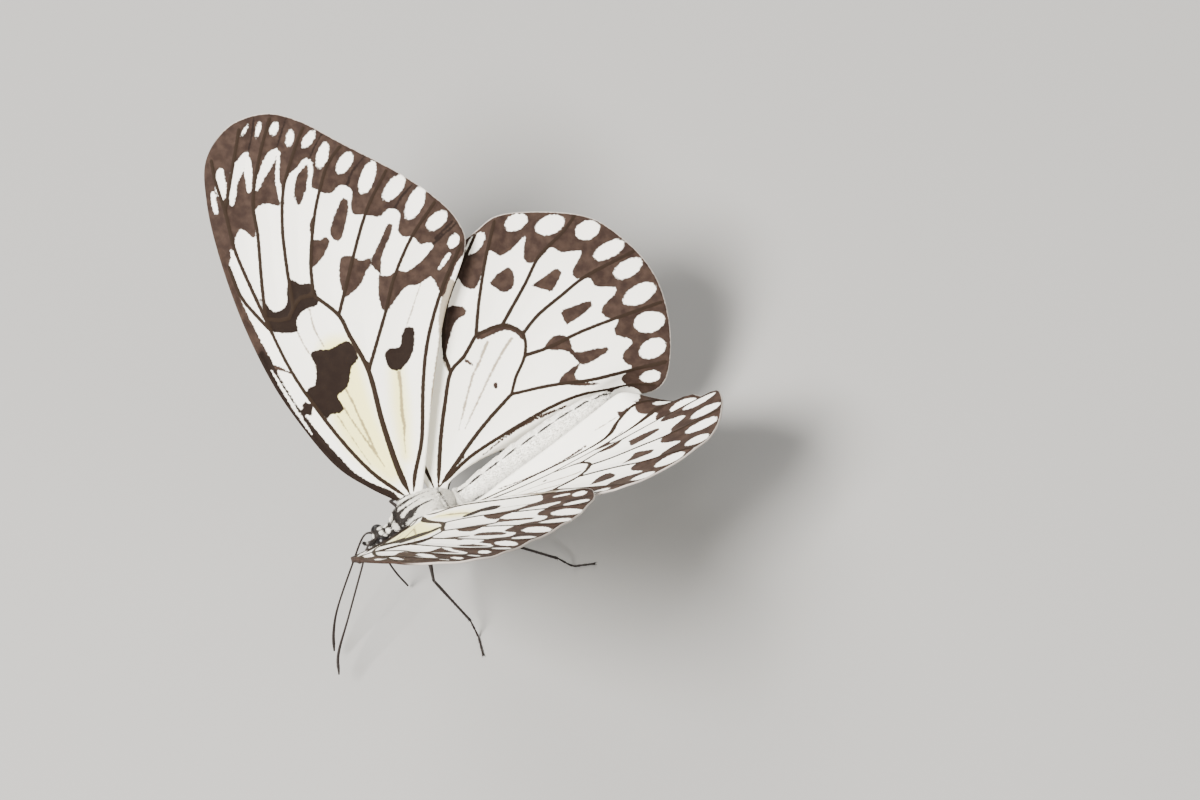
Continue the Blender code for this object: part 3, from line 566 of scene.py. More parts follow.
def flat_wing(outline, veins, fine_lines, markings):
    """A fine flat triangulation of a wing, its thickness and its markings, for both of a pair."""
    edge = smooth_path(outline, OUTLINE_STEP)
    loop = np.vstack([edge, edge[:1]])
    points = list(edge)
    edges = [(i, (i + 1) % len(edge)) for i in range(len(edge))]

    def has_room(places):
        return inside_loop(places, edge) & (away_from(places, loop) > EDGE_ROOM)

    def add_line(line, keep):
        first = len(points)
        points.extend(line)
        edges.extend((first + i, first + i + 1) for i in range(len(line) - 1) if keep[i] and keep[i + 1])

    ridges = [smooth_path(path, VEIN_STEP) for path in veins.values()]
    for path in ridges:
        along = np.gradient(path, axis=0)
        side = np.column_stack([-along[:, 1], along[:, 0]])
        side /= np.linalg.norm(side, axis=1)[:, None]
        for offset in (0, VEIN_SHOULDER, -VEIN_SHOULDER):
            line = path + offset * side
            add_line(line, has_room(line))
    strokes = [smooth_path(path, FINE_STEP)[:, :2] for path in fine_lines]
    for line in strokes:
        keep = has_room(line)
        for path in ridges:
            keep &= away_from(line, path) > FINE_VEIN_ROOM
        add_line(line, keep)
    low, high = edge.min(axis=0), edge.max(axis=0)
    grid = np.array([
        (x + (row % 2) * MESH_STEP / 2, y)
        for row, y in enumerate(np.arange(low[1], high[1], MESH_STEP * ROW_STEP))
        for x in np.arange(low[0], high[0], MESH_STEP)
    ])
    for paths, clear in ((ridges, VEIN_ROOM), (strokes, FINE_ROOM)):
        for path in paths:
            grid = grid[away_from(grid, path) > clear]
    every = np.vstack([points, grid])
    room = has_room(every)
    room[: len(edge)] = True
    index = np.cumsum(room) - 1
    edges = [(int(index[a]), int(index[b])) for a, b in edges if room[a] and room[b]]
    flat, _, faces, *_ = delaunay_2d_cdt([Vector(p) for p in every[room]], edges, [], 0, 1e-4)
    flat = np.array(flat)
    faces = np.array([face for face in faces if len(face) == 3])
    faces = faces[inside_loop(flat[faces].mean(axis=1), edge)]
    used = np.unique(faces)
    renumber = np.zeros(len(flat), int)
    renumber[used] = np.arange(len(used))
    flat, faces = flat[used], renumber[faces]

    def raised(path, height, reach):
        return (height - MEMBRANE) * np.clip(1 - (away_from(flat, path) / reach) ** 2, 0, 1)

    lift = raised(loop[: len(edge) // 3], COSTA, COSTA_HALF_WIDTH)
    for path in ridges:
        lift = np.maximum(lift, raised(path, VEIN, VEIN_REACH))
    root = np.clip(1 - flat[:, 0] / ROOT_REACH, 0, 1) * (np.abs(flat[:, 1]) < ROOT_HALF_WIDTH)
    lift = np.maximum(lift, (ROOT - MEMBRANE) * root)
    fields = markings(flat)
    sag = SAG * (1 - np.exp(-((np.minimum(fields["vein"], 0) / SAG_REACH) ** 2)))
    return {"flat": flat, "faces": faces, "thickness": MEMBRANE + lift, "sag": sag,
            "edge": away_from(flat, loop), **fields}


# Placing


def wing_axes(side, rise, turn, sink):
    lift, swing, drop = math.radians(rise), math.radians(turn), math.radians(sink)
    back = np.array((side * math.sin(swing), math.cos(swing), -math.sin(drop)))
    back /= np.linalg.norm(back)
    level = math.cos(lift)
    out = np.array((side * level * math.cos(swing), -level * math.sin(swing), math.sin(lift)))
    out -= (out @ back) * back
    out /= np.linalg.norm(out)
    upper = np.cross(out, -back)
    return out, -back, upper if upper[2] > 0 else -upper


def smooth_step(x, start, end):
    share = np.clip((x - start) / (end - start), 0, 1)
    return share * share * (3 - 2 * share)


def wing_place(root, side, rise, sweep, sink=0.0, arch=1.0, hug=0.0, twist=0.0, tuck=None):
    """Lays flat wing points along the wing's own axes, as the part's source does."""
    start = np.array((side * root[0], root[1], root[2]))
    out, forward, upper = wing_axes(side, rise, sweep, sink)
    _, forward_at_body, _ = wing_axes(side, rise, sweep - hug, sink)
    turn_in = np.zeros(3)
    if tuck is not None:
        slope = math.radians(tuck)
        turn_in = np.array((-side * math.cos(slope), 0, -math.sin(slope))) + out

    def place(flat):
        x, y = flat[:, :1], flat[:, 1:2]
        lengthwise = forward_at_body + (forward - forward_at_body) * smooth_step(x, 0, HUG_REACH)
        depth = (np.hypot(x - FOLD_LINE, FOLD_SOFTNESS) - (x - FOLD_LINE)) / 2
        fold = smooth_step(y, FOLD_START, FOLD_START - FOLD_RISE)
        fold = fold * smooth_step(y, FOLD_END, FOLD_END + FOLD_FADE)
        span = np.clip(x / FOREWING_LENGTH, 0, 1)
        turned = math.radians(twist) * span
        across = np.cos(turned) * lengthwise + np.sin(turned) * upper
        above = np.cos(turned) * upper - np.sin(turned) * lengthwise
        bowed = above * arch * np.sin(math.pi * span**0.8)
        return start + out * x + turn_in * depth * fold + across * y + bowed

    return place


WING_PLACES = {
    "forewing_right": wing_place(FOREWING_ROOT, -1, 37, 0, arch=1.6),
    "forewing_left": wing_place(FOREWING_ROOT, 1, 50.3, 4.2, sink=-1.1, arch=-0.4, twist=26.4),
    "hindwing_right": wing_place(HINDWING_ROOT, -1, 37, 0, tuck=90),
    "hindwing_left": wing_place(HINDWING_ROOT, 1, 53.2, 1.3, -3.9, arch=-3.7, hug=-7.7, twist=27.9, tuck=0),
}


def add_mesh(name, points, faces, finish):
    """A mesh from points in millimetres about the middle of the thorax."""
    mesh = bpy.data.meshes.new(name)
    mesh.from_pydata((np.array(points) * MM + MIDDLE).tolist(), [], [list(map(int, face)) for face in faces])
    mesh.shade_smooth()
    mesh.materials.append(finish)
    made = bpy.data.objects.new(name, mesh)
    bpy.context.scene.collection.objects.link(made)
    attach(made, "root")
    return made


def add_attribute(mesh, name, values):
    made = mesh.attributes.new(name, "FLOAT", "POINT")
    made.data.foreach_set("value", np.asarray(values, np.float32))


def add_map(mesh, places, turn=0.0):
    """A UV map with a place for each point. A face over the seam has its low corners moved one turn on."""
    layer = mesh.uv_layers.new(name="OFBake")
    ends = np.empty(len(mesh.loops), np.int32)
    mesh.loops.foreach_get("vertex_index", ends)
    found = places[ends]
    if turn:
        for face in mesh.polygons:
            across = found[face.loop_start : face.loop_start + face.loop_total, 0]
            if np.ptp(across) > 0.5:
                across[across < 0.5] += turn
    layer.uv.foreach_set("vector", found.astype(np.float32).ravel())


def boundary_runs(faces):
    """The edges with one face only, each in its face's direction."""
    ends = np.concatenate([faces[:, [0, 1]], faces[:, [1, 2]], faces[:, [2, 0]]])
    _, index, count = np.unique(np.sort(ends, axis=1), axis=0, return_inverse=True, return_counts=True)
    return ends[count[index.ravel()] == 1]


def add_wing(name, wing, finish):
    """A closed wing: the flat triangles placed twice, a thickness apart, and joined at the edge."""
    place = WING_PLACES[name]
    flat, faces = wing["flat"], wing["faces"]
    along = place(flat + (NEAR, 0)) - place(flat - (NEAR, 0))
    ahead = place(flat + (0, NEAR)) - place(flat - (0, NEAR))
    normal = np.cross(along, ahead)
    normal /= np.linalg.norm(normal, axis=1)[:, None]
    if normal[:, 2].mean() < 0:
        normal = -normal
    middle = place(flat) - wing["sag"][:, None] * normal
    half = wing["thickness"][:, None] / 2 * normal
    count = len(flat)
    a, b, c = middle[faces[0]]
    if np.cross(b - a, c - a) @ normal[faces[0][0]] < 0:
        faces = faces[:, ::-1]
    rim = boundary_runs(faces)
    walls = np.array([(b, a, a + count, b + count) for a, b in rim])
    points = np.vstack([middle + half, middle - half])
    every = [*faces.tolist(), *(faces[:, ::-1] + count).tolist(), *walls.tolist()]
    made = add_mesh(name + "_scales", points, every, finish)
    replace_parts(made, name)
    for field in ("dark", "deep", "vein", "shade", "straw", "edge"):
        add_attribute(made.data, field, np.tile(wing[field], 2))
    reach = np.minimum(np.hypot(flat[:, 0], flat[:, 1]) - FRINGE_START, -1 - flat[:, 1])
    add_attribute(made.data, "reach", np.tile(reach, 2))
    half_map = (flat - flat.min(axis=0) + 1) / (np.ptp(flat, axis=0) + 2) * (0.5, 1)
    add_map(made.data, np.vstack([half_map, half_map + (0.5, 0)]))


# Body


def ball(form, rings, sides, shape):
    """A sphere whose poles lie along Y and whose points go through shape(along, across, up)."""
    made = bmesh.ops.create_uvsphere(form, u_segments=sides, v_segments=rings, radius=1.0)
    for vertex in made["verts"]:
        across, up, along = vertex.co
        vertex.co = shape(along, across, up)


def oval(middle, half):
    def shape(along, across, up):
        return middle[0] + across * half[0], middle[1] + along * half[1], middle[2] + up * half[2]

    return shape


def dip(value, place):
    return math.exp(-(((value - place) / GROOVE_WIDTH) ** 2))


def thorax_shape(along, across, up):
    """Deep and wide under the wings, with a groove behind the collar and one before the waist."""
    y = FRONT_OF_THORAX + COAT + (along + 1) / 2 * (THORAX_LENGTH - 2 * COAT)
    back = max(0.0, (y - THORAX_BACK) / BACK_OF_THORAX)
    girth = 1 - COLLAR_DEPTH * dip(y, COLLAR_GROOVE) - WAIST_DEPTH * dip(y, WAIST_GROOVE)
    x = across * (THORAX_WIDTH / 2 - COAT) * girth
    z = up * (THORAX_HEIGHT / 2 - COAT) * (1 - THORAX_SLIM * back) * girth - THORAX_DROP * back**2
    return x, y, z


def head_shape(along, across, up):
    x, y, z = HEAD_MIDDLE
    half = np.array((HEAD_WIDTH, HEAD_LENGTH, HEAD_HEIGHT)) / 2 - HEAD_COAT
    return x + across * half[0], y + along * half[1], z + up * half[2] - HEAD_NOD * along


def abdomen_axis(y):
    """Height of the abdomen's middle: low at the waist, and rising a little to the tip."""
    return np.interp(y, *ABDOMEN_AXIS)


def abdomen_shape(along, across, up):
    """Nine rings, each of which widens to its back edge and drops sharply to the next."""
    t = (along + 1) / 2
    girth = np.interp(t, *ABDOMEN_GIRTH)
    phase = ABDOMEN_RINGS * t % 1
    girth *= RING_WAIST + RING_RISE * min(phase / 0.8, (1 - phase) / 0.2) ** 0.7
    ring = math.hypot(across, up)
    end = min(1.0, (1 - abs(along)) * 12) ** 0.5
    size = (ABDOMEN_WIDTH / 2 * girth - FLAT_COAT) * end / ring if ring > 1e-6 else 0
    y = ABDOMEN_START + t * ABDOMEN_SPAN
    return across * size, y, abdomen_axis(y) + up * size * ABDOMEN_DEPTH


def sweep(path, radii, sides):
    """Points and faces of a closed tube along a path, with a radius at each point and a cone at each end."""
    path = np.array(path, float)
    along = np.gradient(path, axis=0)
    along /= np.linalg.norm(along, axis=1)[:, None]
    side = np.cross(along[0], (0.0, 0.3, 1.0))
    points, faces = [path[0]], []
    for place, ahead, radius in zip(path, along, radii):
        side = side - (side @ ahead) * ahead
        side /= np.linalg.norm(side)
        other = np.cross(ahead, side)
        for turn in np.arange(sides) / sides * 2 * math.pi:
            points.append(place + radius * (math.cos(turn) * side + math.sin(turn) * other))
    points.append(path[-1])
    last = len(points) - 1
    for ring in range(len(path) - 1):
        for k in range(sides):
            a, b = 1 + ring * sides + k, 1 + ring * sides + (k + 1) % sides
            faces.append((a, b, b + sides, a + sides))
    for k in range(sides):
        faces.append((0, 1 + (k + 1) % sides, 1 + k))
        faces.append((last, last - sides + k, last - sides + (k + 1) % sides))
    return points, faces


def smooth_sweep(points, radii, step, sides):
    """A tube along a smooth path, whose radii run as smoothly."""
    fine = smooth_path(np.column_stack([points, radii]), step)
    return sweep(fine[:, :3], fine[:, 3], sides)


def mirrored(points, side):
    return [(side * x, y, z) for x, y, z in points]


def add_sweep(form, path, radii):
    points, faces = sweep(path, radii, 10)
    made = [form.verts.new(point) for point in points]
    for face in faces:
        form.faces.new([made[k] for k in face])


def body_skin():
    """One closed skin over the thorax, head, palps and abdomen, as points, faces and outward directions."""
    form = bmesh.new()
    ball(form, 60, 72, thorax_shape)
    ball(form, 40, 48, head_shape)
    ball(form, 300, 64, abdomen_shape)
    ball(form, 16, 24, oval(*NECK))
    for side in (-1, 1):
        for middle, half in SWELLINGS:
            ball(form, 16, 24, oval((side * middle[0], *middle[1:]), half))
        palp = smooth_path(mirrored(PALP, side), 0.2)
        share = np.linspace(0, 1, len(palp))
        add_sweep(form, palp, np.interp(share, np.linspace(0, 1, len(PALP)), PALP_RADII) - FLAT_COAT)
    bmesh.ops.recalc_face_normals(form, faces=form.faces)
    rough = bpy.data.meshes.new("rough_body")
    form.to_mesh(rough)
    form.free()
    guide = bpy.data.objects.new("rough_body", rough)
    bpy.context.scene.collection.objects.link(guide)
    remesh = guide.modifiers.new("remesh", "REMESH")
    remesh.mode = "VOXEL"
    remesh.voxel_size = SKIN_STEP
    smooth = guide.modifiers.new("smooth", "SMOOTH")
    smooth.factor = 0.5
    smooth.iterations = 3
    graph = bpy.context.evaluated_depsgraph_get()
    mesh = guide.evaluated_get(graph).to_mesh()
    points = np.empty(len(mesh.vertices) * 3)
    mesh.vertices.foreach_get("co", points)
    normals = np.empty(len(mesh.vertices) * 3)
    mesh.vertices.foreach_get("normal", normals)
    faces = [tuple(face.vertices) for face in mesh.polygons]
    bpy.data.objects.remove(guide)
    bpy.data.meshes.remove(rough)
    return points.reshape(-1, 3), faces, normals.reshape(-1, 3)


def body_whites(points):
    """How far inside a white mark each point of the body is, in millimetres."""
    x, y, z = np.abs(points[:, 0]), points[:, 1], points[:, 2]
    white = np.full(len(points), NONE)
    for dot in BODY_DOTS:
        white = np.maximum(white, dot[3] - np.linalg.norm(np.column_stack([x, y, z]) - dot[:3], axis=1))
    above, aside = np.column_stack([x, y]), np.column_stack([y, z])
    for strokes, plane, showing in (
        (BACK_STRIPES, above, z > np.interp(y, *BACK_LOWEST)),
        (FLANK_STRIPES, aside, z < FLANK_HIGHEST),
    ):
        white = np.maximum(white, np.where(showing, inside_any(plane, strokes, inside_smooth_stroke), NONE))
    phase = ABDOMEN_RINGS * (y - ABDOMEN_START) / ABDOMEN_SPAN % 1
    height = z - abdomen_axis(y)
    dash = BACK_LINE * np.sqrt(np.clip(1 - ((phase - 0.5) / 0.42) ** 2, 0, 1)) - x
    spots = FLANK_SPOT - np.hypot((phase - 0.15) * 0.7, height + 0.5)
    dark = np.maximum(np.where(height > 0, dash, NONE), np.where(y < LAST_SPOT, spots, NONE))
    waist = np.where(y > WAIST_START, y - WAIST_END, NONE)
    return np.where(y > WAIST_END, np.minimum(-dark, 1.0), np.maximum(white, waist))


def body_map(points):
    """Places on an unwrap of the body: round it from the belly, and along it."""
    axis = np.where(points[:, 1] > 5, abdomen_axis(points[:, 1]), 0)
    turn = np.arctan2(points[:, 0], points[:, 2] - axis)
    round_it = MAP_MARGIN + MAP_TURN * (turn / (2 * math.pi) + 0.5)
    return np.column_stack([round_it, MAP_MARGIN + (points[:, 1] + MAP_FRONT) / MAP_LENGTH])


def add_skin(points, faces, finish):
    made = add_mesh("body_skin", points, faces, finish)
    add_attribute(made.data, "white", body_whites(points))
    add_map(made.data, body_map(points), MAP_TURN)
    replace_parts(made, "thorax", "head", "abdomen", "palp_left", "palp_right")


# Coat


def coat_roots(skin, first, last, count, rng):
    """Random roots over the skin between two places along Y, even by area, and the directions out of it."""
    points, faces, normals = skin
    halves = [face[:3] for face in faces] + [(face[0], face[2], face[3]) for face in faces if face[3:]]
    triangles = np.array(halves)
    a, b, c = (points[triangles[:, k]] for k in range(3))
    y = (a + b + c)[:, 1] / 3
    area = np.linalg.norm(np.cross(b - a, c - a), axis=1) * ((y > first) & (y < last))
    chosen = triangles[rng.choice(len(area), count, p=area / area.sum())]
    share = rng.dirichlet((1, 1, 1), count)[:, :, None]
    ups = (normals[chosen] * share).sum(axis=1)
    return (points[chosen] * share).sum(axis=1), ups / np.linalg.norm(ups, axis=1)[:, None]


def add_tufts(name, finish, roots, ups, lie, lengths, width, lift, rng):
    """Solid tapered tufts, each of three sides, that lean along the lie and bend down to their tips."""
    count = len(roots)
    lie = lie + rng.normal(0, LIE_SCATTER, (count, 3))
    lie -= (lie * ups).sum(axis=1)[:, None] * ups
    lie /= np.linalg.norm(lie, axis=1)[:, None]
    across = np.cross(ups, lie)
    length = (lengths * rng.uniform(0.75, 1.2, count))[:, None]
    lift = lift * rng.uniform(0.6, 1.4, count)
    rise, run = np.sin(lift)[:, None], np.cos(lift)[:, None]
    width = (width * rng.uniform(0.8, 1.2, count))[:, None]
    base = roots - ups * TUFT_SINK
    middle = roots + length * 0.55 * (run * lie + rise * ups)
    tip = roots + length * (run * lie + 0.75 * rise * ups)
    rows = []
    for place, half, ridge in ((base, 0.5, 0.35), (middle, 0.42, 0.3)):
        rows += [place - across * width * half, place + across * width * half, place + ups * width * ridge]
    points = np.stack([*rows, tip], axis=1).reshape(-1, 3)
    faces = [[TUFT_POINTS * k + corner for corner in face] for k in range(count) for face in TUFT_FACES]
    made = add_mesh(name, points, faces, finish)
    add_attribute(made.data, "white", np.repeat(body_whites(roots), TUFT_POINTS))
    # A random tone for each tuft, which no material reads yet
    add_attribute(made.data, "tone", np.repeat(rng.uniform(0, 1, count), TUFT_POINTS))
    add_map(made.data, (body_map(roots)[:, None] + np.array(TUFT_MAP) * TUFT_MAP_SIZE).reshape(-1, 2))


def on_palps(roots):
    return roots[:, 1] < PALPS_END


def away_from_face(roots):
    """The lie of the head's tufts: back from the face, and up along the palps."""
    away = roots - FACE
    away[on_palps(roots)] = (0, -0.5, 1.0)
    return away


def add_coats(skin, finish):
    rng = np.random.default_rng(5)

    def add_coat(name, reach, count, width, find_lie, find_part, lengths, lifts):
        """Lengths and lifts are for the roots that find_part picks, and for the others."""
        roots, ups = coat_roots(skin, *reach, count, rng)
        part = find_part(roots)
        add_tufts(name, finish, roots, ups, find_lie(roots), np.where(part, *lengths), width,
                  np.where(part, *lifts), rng)

    add_coat("thorax_coat", THORAX_REACH, THORAX_TUFTS, 0.075, lambda roots: (0, 1.0, -0.25),
             lambda roots: roots[:, 2] > BACK_HEIGHT, (0.45, 0.7), (0.3, 0.5))
    add_coat("head_coat", HEAD_REACH, HEAD_TUFTS, 0.055, away_from_face,
             on_palps, (0.42, 0.24), (0.5, 0.5))
    add_coat("abdomen_coat", ABDOMEN_REACH, ABDOMEN_TUFTS, 0.13, lambda roots: (0, 1.0, 0.05),
             lambda roots: roots[:, 1] > TAIL_START, (0.6, 0.42), (0.3, 0.16))


# Eyes, feelers, tongue and legs


def knees(points, radii):
    """A path with a short bend at each joint in place of a corner, and its radii, as in the part's source."""
    points = [np.array(point, float) for point in points]
    path, sizes = [points[0]], [radii[0]]
    for before, joint, after, radius in zip(points, points[1:], points[2:], radii[1:]):
        for other in (before, after):
            run = other - joint
            path.append(joint + run * min(0.3, KNEE_BEND / np.linalg.norm(run)))
            sizes.append(radius)
        path.insert(-1, (2 * joint + path[-2] + path[-1]) / 4)
        sizes.append(radius)
    return path + [points[-1]], np.array(sizes + [radii[-1]])


def add_pieces(name, pieces, finish, node):
    """One mesh from several closed tubes."""
    points, faces = [], []
    for some_points, some_faces in pieces:
        faces.extend([corner + len(points) for corner in face] for face in some_faces)
        points.extend(some_points)
    made = add_mesh(name, points, faces, finish)
    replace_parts(made, node)


def spine(root, toward, length, radius):
    ahead = np.array(toward, float)
    ahead /= np.linalg.norm(ahead)
    path = [root - ahead * 0.1, root + ahead * length * 0.5, root + ahead * length]
    return sweep(path, (radius, radius * 0.8, radius * 0.15), 5)


def leg_pieces(points, side):
    """A leg's segments: a stout femur, a slim tibia with spurs, and a foot of five rings with two claws."""
    coxa, hip, knee, ankle, foot, toe = (np.array(point) for point in mirrored(points, side))
    foot[2] = toe[2] = FOOT_HEIGHT
    pieces = []
    for start, end, radii in ((coxa, hip, COXA_RADII), (hip, knee, FEMUR_RADII), (knee, ankle, TIBIA_RADII)):
        path = start + np.linspace(0, 1, len(radii))[:, None] * (end - start)
        pieces.append(smooth_sweep(path, radii, np.linalg.norm(end - start) / 14, 12))
    fine = smooth_path([ankle, foot, toe], 0.15)
    walked = np.concatenate([[0], np.linalg.norm(np.diff(fine, axis=0), axis=1).cumsum()])
    part = walked / walked[-1]
    rings = np.linspace(0, 1, TARSUS_RINGS + 1) ** 0.85
    place = np.minimum(np.searchsorted(rings, part, side="right") - 1, TARSUS_RINGS - 1)
    phase = (part - rings[place]) / (rings[place + 1] - rings[place])
    radii = TARSUS_RADIUS * (0.62 + 0.38 * np.clip(phase, 0, 1) ** 1.5)
    fine[:, 2] = np.maximum(fine[:, 2], FOOT_HEIGHT)
    pieces.append(sweep(fine, radii, 12))
    heading = (toe - foot) / np.linalg.norm(toe - foot)
    sideways = np.cross(heading, UP)
    down = ankle - knee
    across = np.cross(down, UP)
    across /= np.linalg.norm(across)
    for turn in (-1, 1):
        start = toe - heading * 0.05 + sideways * 0.08 * turn
        hook = [start, start + heading * 0.25 + sideways * 0.12 * turn + (0, 0, 0.08),
                start + heading * 0.42 + sideways * 0.16 * turn - (0, 0, 0.1)]
        hook = smooth_path(hook, 0.06)
        pieces.append(sweep(hook, np.linspace(*CLAW_RADII, len(hook)), 6))
        spur = (foot - ankle) * 0.12 + sideways * 0.5 * turn
        pieces.append(spine(ankle - down * 0.02, spur, SPUR_LENGTH, SPUR_RADIUS))
    for share in np.linspace(0.12, 0.95, 12):
        for turn in (-1, 1):
            root = knee + down * share + across * 0.16 * turn
            toward = down / np.linalg.norm(down) + across * 0.7 * turn - (0, 0, 0.3)
            pieces.append(spine(root, toward, SPINE_LENGTH, SPINE_RADIUS))
    for k in range(6, len(fine) - 4, 5):
        for turn in (-1, 1):
            root = fine[k] + sideways * 0.14 * turn
            toward = heading + sideways * 0.5 * turn + (0, 0, 0.1)
            pieces.append(spine(root, toward, FOOT_SPINE_LENGTH, FOOT_SPINE_RADIUS))
    return pieces


def feeler_pieces(points, side):
    """A thread of short rings that ends in a slim club."""
    path = smooth_path(points, FEELER_STEP) * (side, 1, 1)
    thick = np.interp(np.linspace(0, 1, len(path)), *FEELER_RADII)
    thick *= 1 + 0.09 * (np.arange(len(path)) * FEELER_STEP / FEELER_RING % 1)
    return [sweep(path, thick, 12)]


def add_eye(side, label, finish):
    form = bmesh.new()
    radius = EYE_DIAMETER / 2
    ball(form, 48, 64, oval((side * EYE_MIDDLE[0], *EYE_MIDDLE[1:]), (radius, radius, radius * 1.1)))
    bmesh.ops.recalc_face_normals(form, faces=form.faces)
    form.verts.index_update()
    points = [tuple(vertex.co) for vertex in form.verts]
    faces = [[vertex.index for vertex in face.verts] for face in form.faces]
    form.free()
    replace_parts(add_mesh(f"facets_{label}", points, faces, finish), f"eye_{label}")


def add_limbs(finish, eye_finish):
    for side, label in ((1, "left"), (-1, "right")):
        feeler = feeler_pieces(LEFT_ANTENNA if side > 0 else RIGHT_ANTENNA, side)
        add_pieces(f"feeler_{label}", feeler, finish, f"antenna_{label}")
        points, radii = knees(mirrored(FORELEG, side), FORELEG_RADII)
        small_leg = [smooth_sweep(points, radii * SMALL_LEG_SLIM, 0.15, 12)]
        add_pieces(f"small_leg_{label}", small_leg, finish, f"foreleg_{label}")
        for name, line in (("middle_leg", MIDDLE_LEG), ("hind_leg", HIND_LEG)):
            add_pieces(f"{name}_{label}_segments", leg_pieces(line, side), finish, f"{name}_{label}")
        add_eye(side, label, eye_finish)
    tongue = smooth_path(np.column_stack([PROBOSCIS, np.array(PROBOSCIS_RADII) * TONGUE_SLIM]), 0.15)
    halves = [sweep(tongue[:, :3] + (side * TONGUE_HALF, 0, 0), tongue[:, 3], 10) for side in (-1, 1)]
    add_pieces("tongue", halves, finish, "proboscis")


# Materials


class Nodes:
    """Short calls to make and join shader nodes."""

    def __init__(self, name, roughness, specular):
        self.material = bpy.data.materials.new(name)
        self.material.use_nodes = True
        self.tree = self.material.node_tree
        self.shader = self.tree.nodes["Principled BSDF"]
        self.shader.inputs["Roughness"].default_value = roughness
        self.shader.inputs["Specular IOR Level"].default_value = specular

    def add(self, kind, **settings):
        node = self.tree.nodes.new(kind)
        for key, value in settings.items():
            setattr(node, key, value)
        return node

    def put(self, value, socket):
        if isinstance(value, bpy.types.NodeSocket):
            self.tree.links.new(value, socket)
        else:
            socket.default_value = value

    def field(self, name):
        return self.add("ShaderNodeAttribute", attribute_name=name).outputs["Fac"]

    def math(self, operation, first, second):
        node = self.add("ShaderNodeMath", operation=operation)
        self.put(first, node.inputs[0])
        self.put(second, node.inputs[1])
        return node.outputs[0]

    def ramp(self, value, low, high, out_low=0.0, out_high=1.0):
        node = self.add("ShaderNodeMapRange", interpolation_type="SMOOTHSTEP")
        self.put(value, node.inputs["Value"])
        for key, number in zip(("From Min", "From Max", "To Min", "To Max"), (low, high, out_low, out_high)):
            self.put(number, node.inputs[key])
        return node.outputs["Result"]

    def noise(self, scale, detail, where):
        node = self.add("ShaderNodeTexNoise")
        node.inputs["Scale"].default_value = scale
        node.inputs["Detail"].default_value = detail
        self.put(where, node.inputs["Vector"])
        return node.outputs["Fac"]

    def ragged(self, scale, size, where):
        """Noise about zero, in millimetres, for the edges of marks."""
        return self.math("MULTIPLY", self.math("SUBTRACT", self.noise(scale, 2, where), 0.5), size)

    def mark(self, name, ragged, low, high, out_low=0.0, out_high=1.0):
        """How strongly a mark shows, from the measure of that name and the noise at its edge."""
        return self.ramp(self.math("ADD", self.field(name), ragged), low, high, out_low, out_high)

    def mix(self, share, first, second):
        node = self.add("ShaderNodeMix", data_type="RGBA")
        self.put(share, node.inputs["Factor"])
        for value, socket in ((first, node.inputs["A"]), (second, node.inputs["B"])):
            self.put((*value, 1.0) if isinstance(value, tuple) else value, socket)
        return node.outputs["Result"]

    def position(self):
        return self.add("ShaderNodeTexCoord").outputs["Object"]

    def bump(self, height, strength, distance):
        node = self.add("ShaderNodeBump")
        node.inputs["Strength"].default_value = strength
        node.inputs["Distance"].default_value = distance
        self.put(height, node.inputs["Height"])
        self.put(node.outputs["Normal"], self.shader.inputs["Normal"])

    def colour(self, value):
        self.put((*value, 1.0) if isinstance(value, tuple) else value, self.shader.inputs["Base Color"])


def wing_finish():
    """Cream scales with dark markings, whose edges are broken up by the rows of scales."""
    made = Nodes("wing_scales", 0.75, 0.06)
    where = made.position()
    rows = made.ragged(2600, 0.45, where)
    edge = made.math("ADD", rows, made.ragged(420, 0.3, where))
    colour = made.mix(made.ramp(made.noise(150, 3, where), 0.35, 0.7, 0.0, 0.12), CREAM, DUST)
    colour = made.mix(made.ramp(made.field("straw"), -1.6, 1.2, 0.0, 0.9), colour, STRAW)
    # Smoky rays, and the painted see-through shade where the hindwing lies under the forewing
    colour = made.mix(made.mark("shade", edge, -0.12, 0.16, 0.0, 0.85), colour, SMOKE)
    mottled = made.mix(made.ramp(made.noise(700, 4, where), 0.3, 0.75), BROWN, PALE_BROWN)
    mottled = made.mix(made.mark("deep", edge, -0.12, 0.15, 0.0, 0.85), mottled, DARK)
    # The dark field has the painted highlight of the front margin cut out of it
    colour = made.mix(made.mark("dark", edge, -0.08, 0.1), colour, mottled)
    vein = made.mark("vein", made.math("MULTIPLY", rows, 0.4), -0.05, 0.06)
    colour = made.mix(vein, colour, VEIN_BROWN)
    fringe = made.mark("edge", made.math("MULTIPLY", rows, 0.5), 0.06, 0.16, 0.6, 0.0)
    outer = made.ramp(made.field("reach"), 0.0, 4.0)
    made.colour(made.mix(made.math("MULTIPLY", fringe, outer), colour, FRINGE))
    made.shader.inputs["Subsurface Weight"].default_value = 0.1
    made.shader.inputs["Subsurface Radius"].default_value = (1.0, 0.9, 0.75)
    made.shader.inputs["Subsurface Scale"].default_value = 0.0003
    made.bump(made.noise(3800, 1, where), 0.25, 0.00006)
    return made.material


def body_finish():
    """Black with white marks, from the same measure on the skin and on the tufts."""
    made = Nodes("body_scales", 0.62, 0.25)
    where = made.position()
    scale = made.add("ShaderNodeMapping")
    made.put(where, scale.inputs["Vector"])
    scale.inputs["Scale"].default_value = (1.0, HAIR_STRETCH, 1.0)
    fine = made.noise(6000, 3, scale.outputs["Vector"])
    white = made.mark("white", made.ragged(2400, 0.35, where), -0.06, 0.08)
    made.colour(made.mix(white, made.mix(fine, *BLACK_HAIR), made.mix(fine, *WHITE_HAIR)))
    made.bump(fine, 0.5, 0.00008)
    return made.material


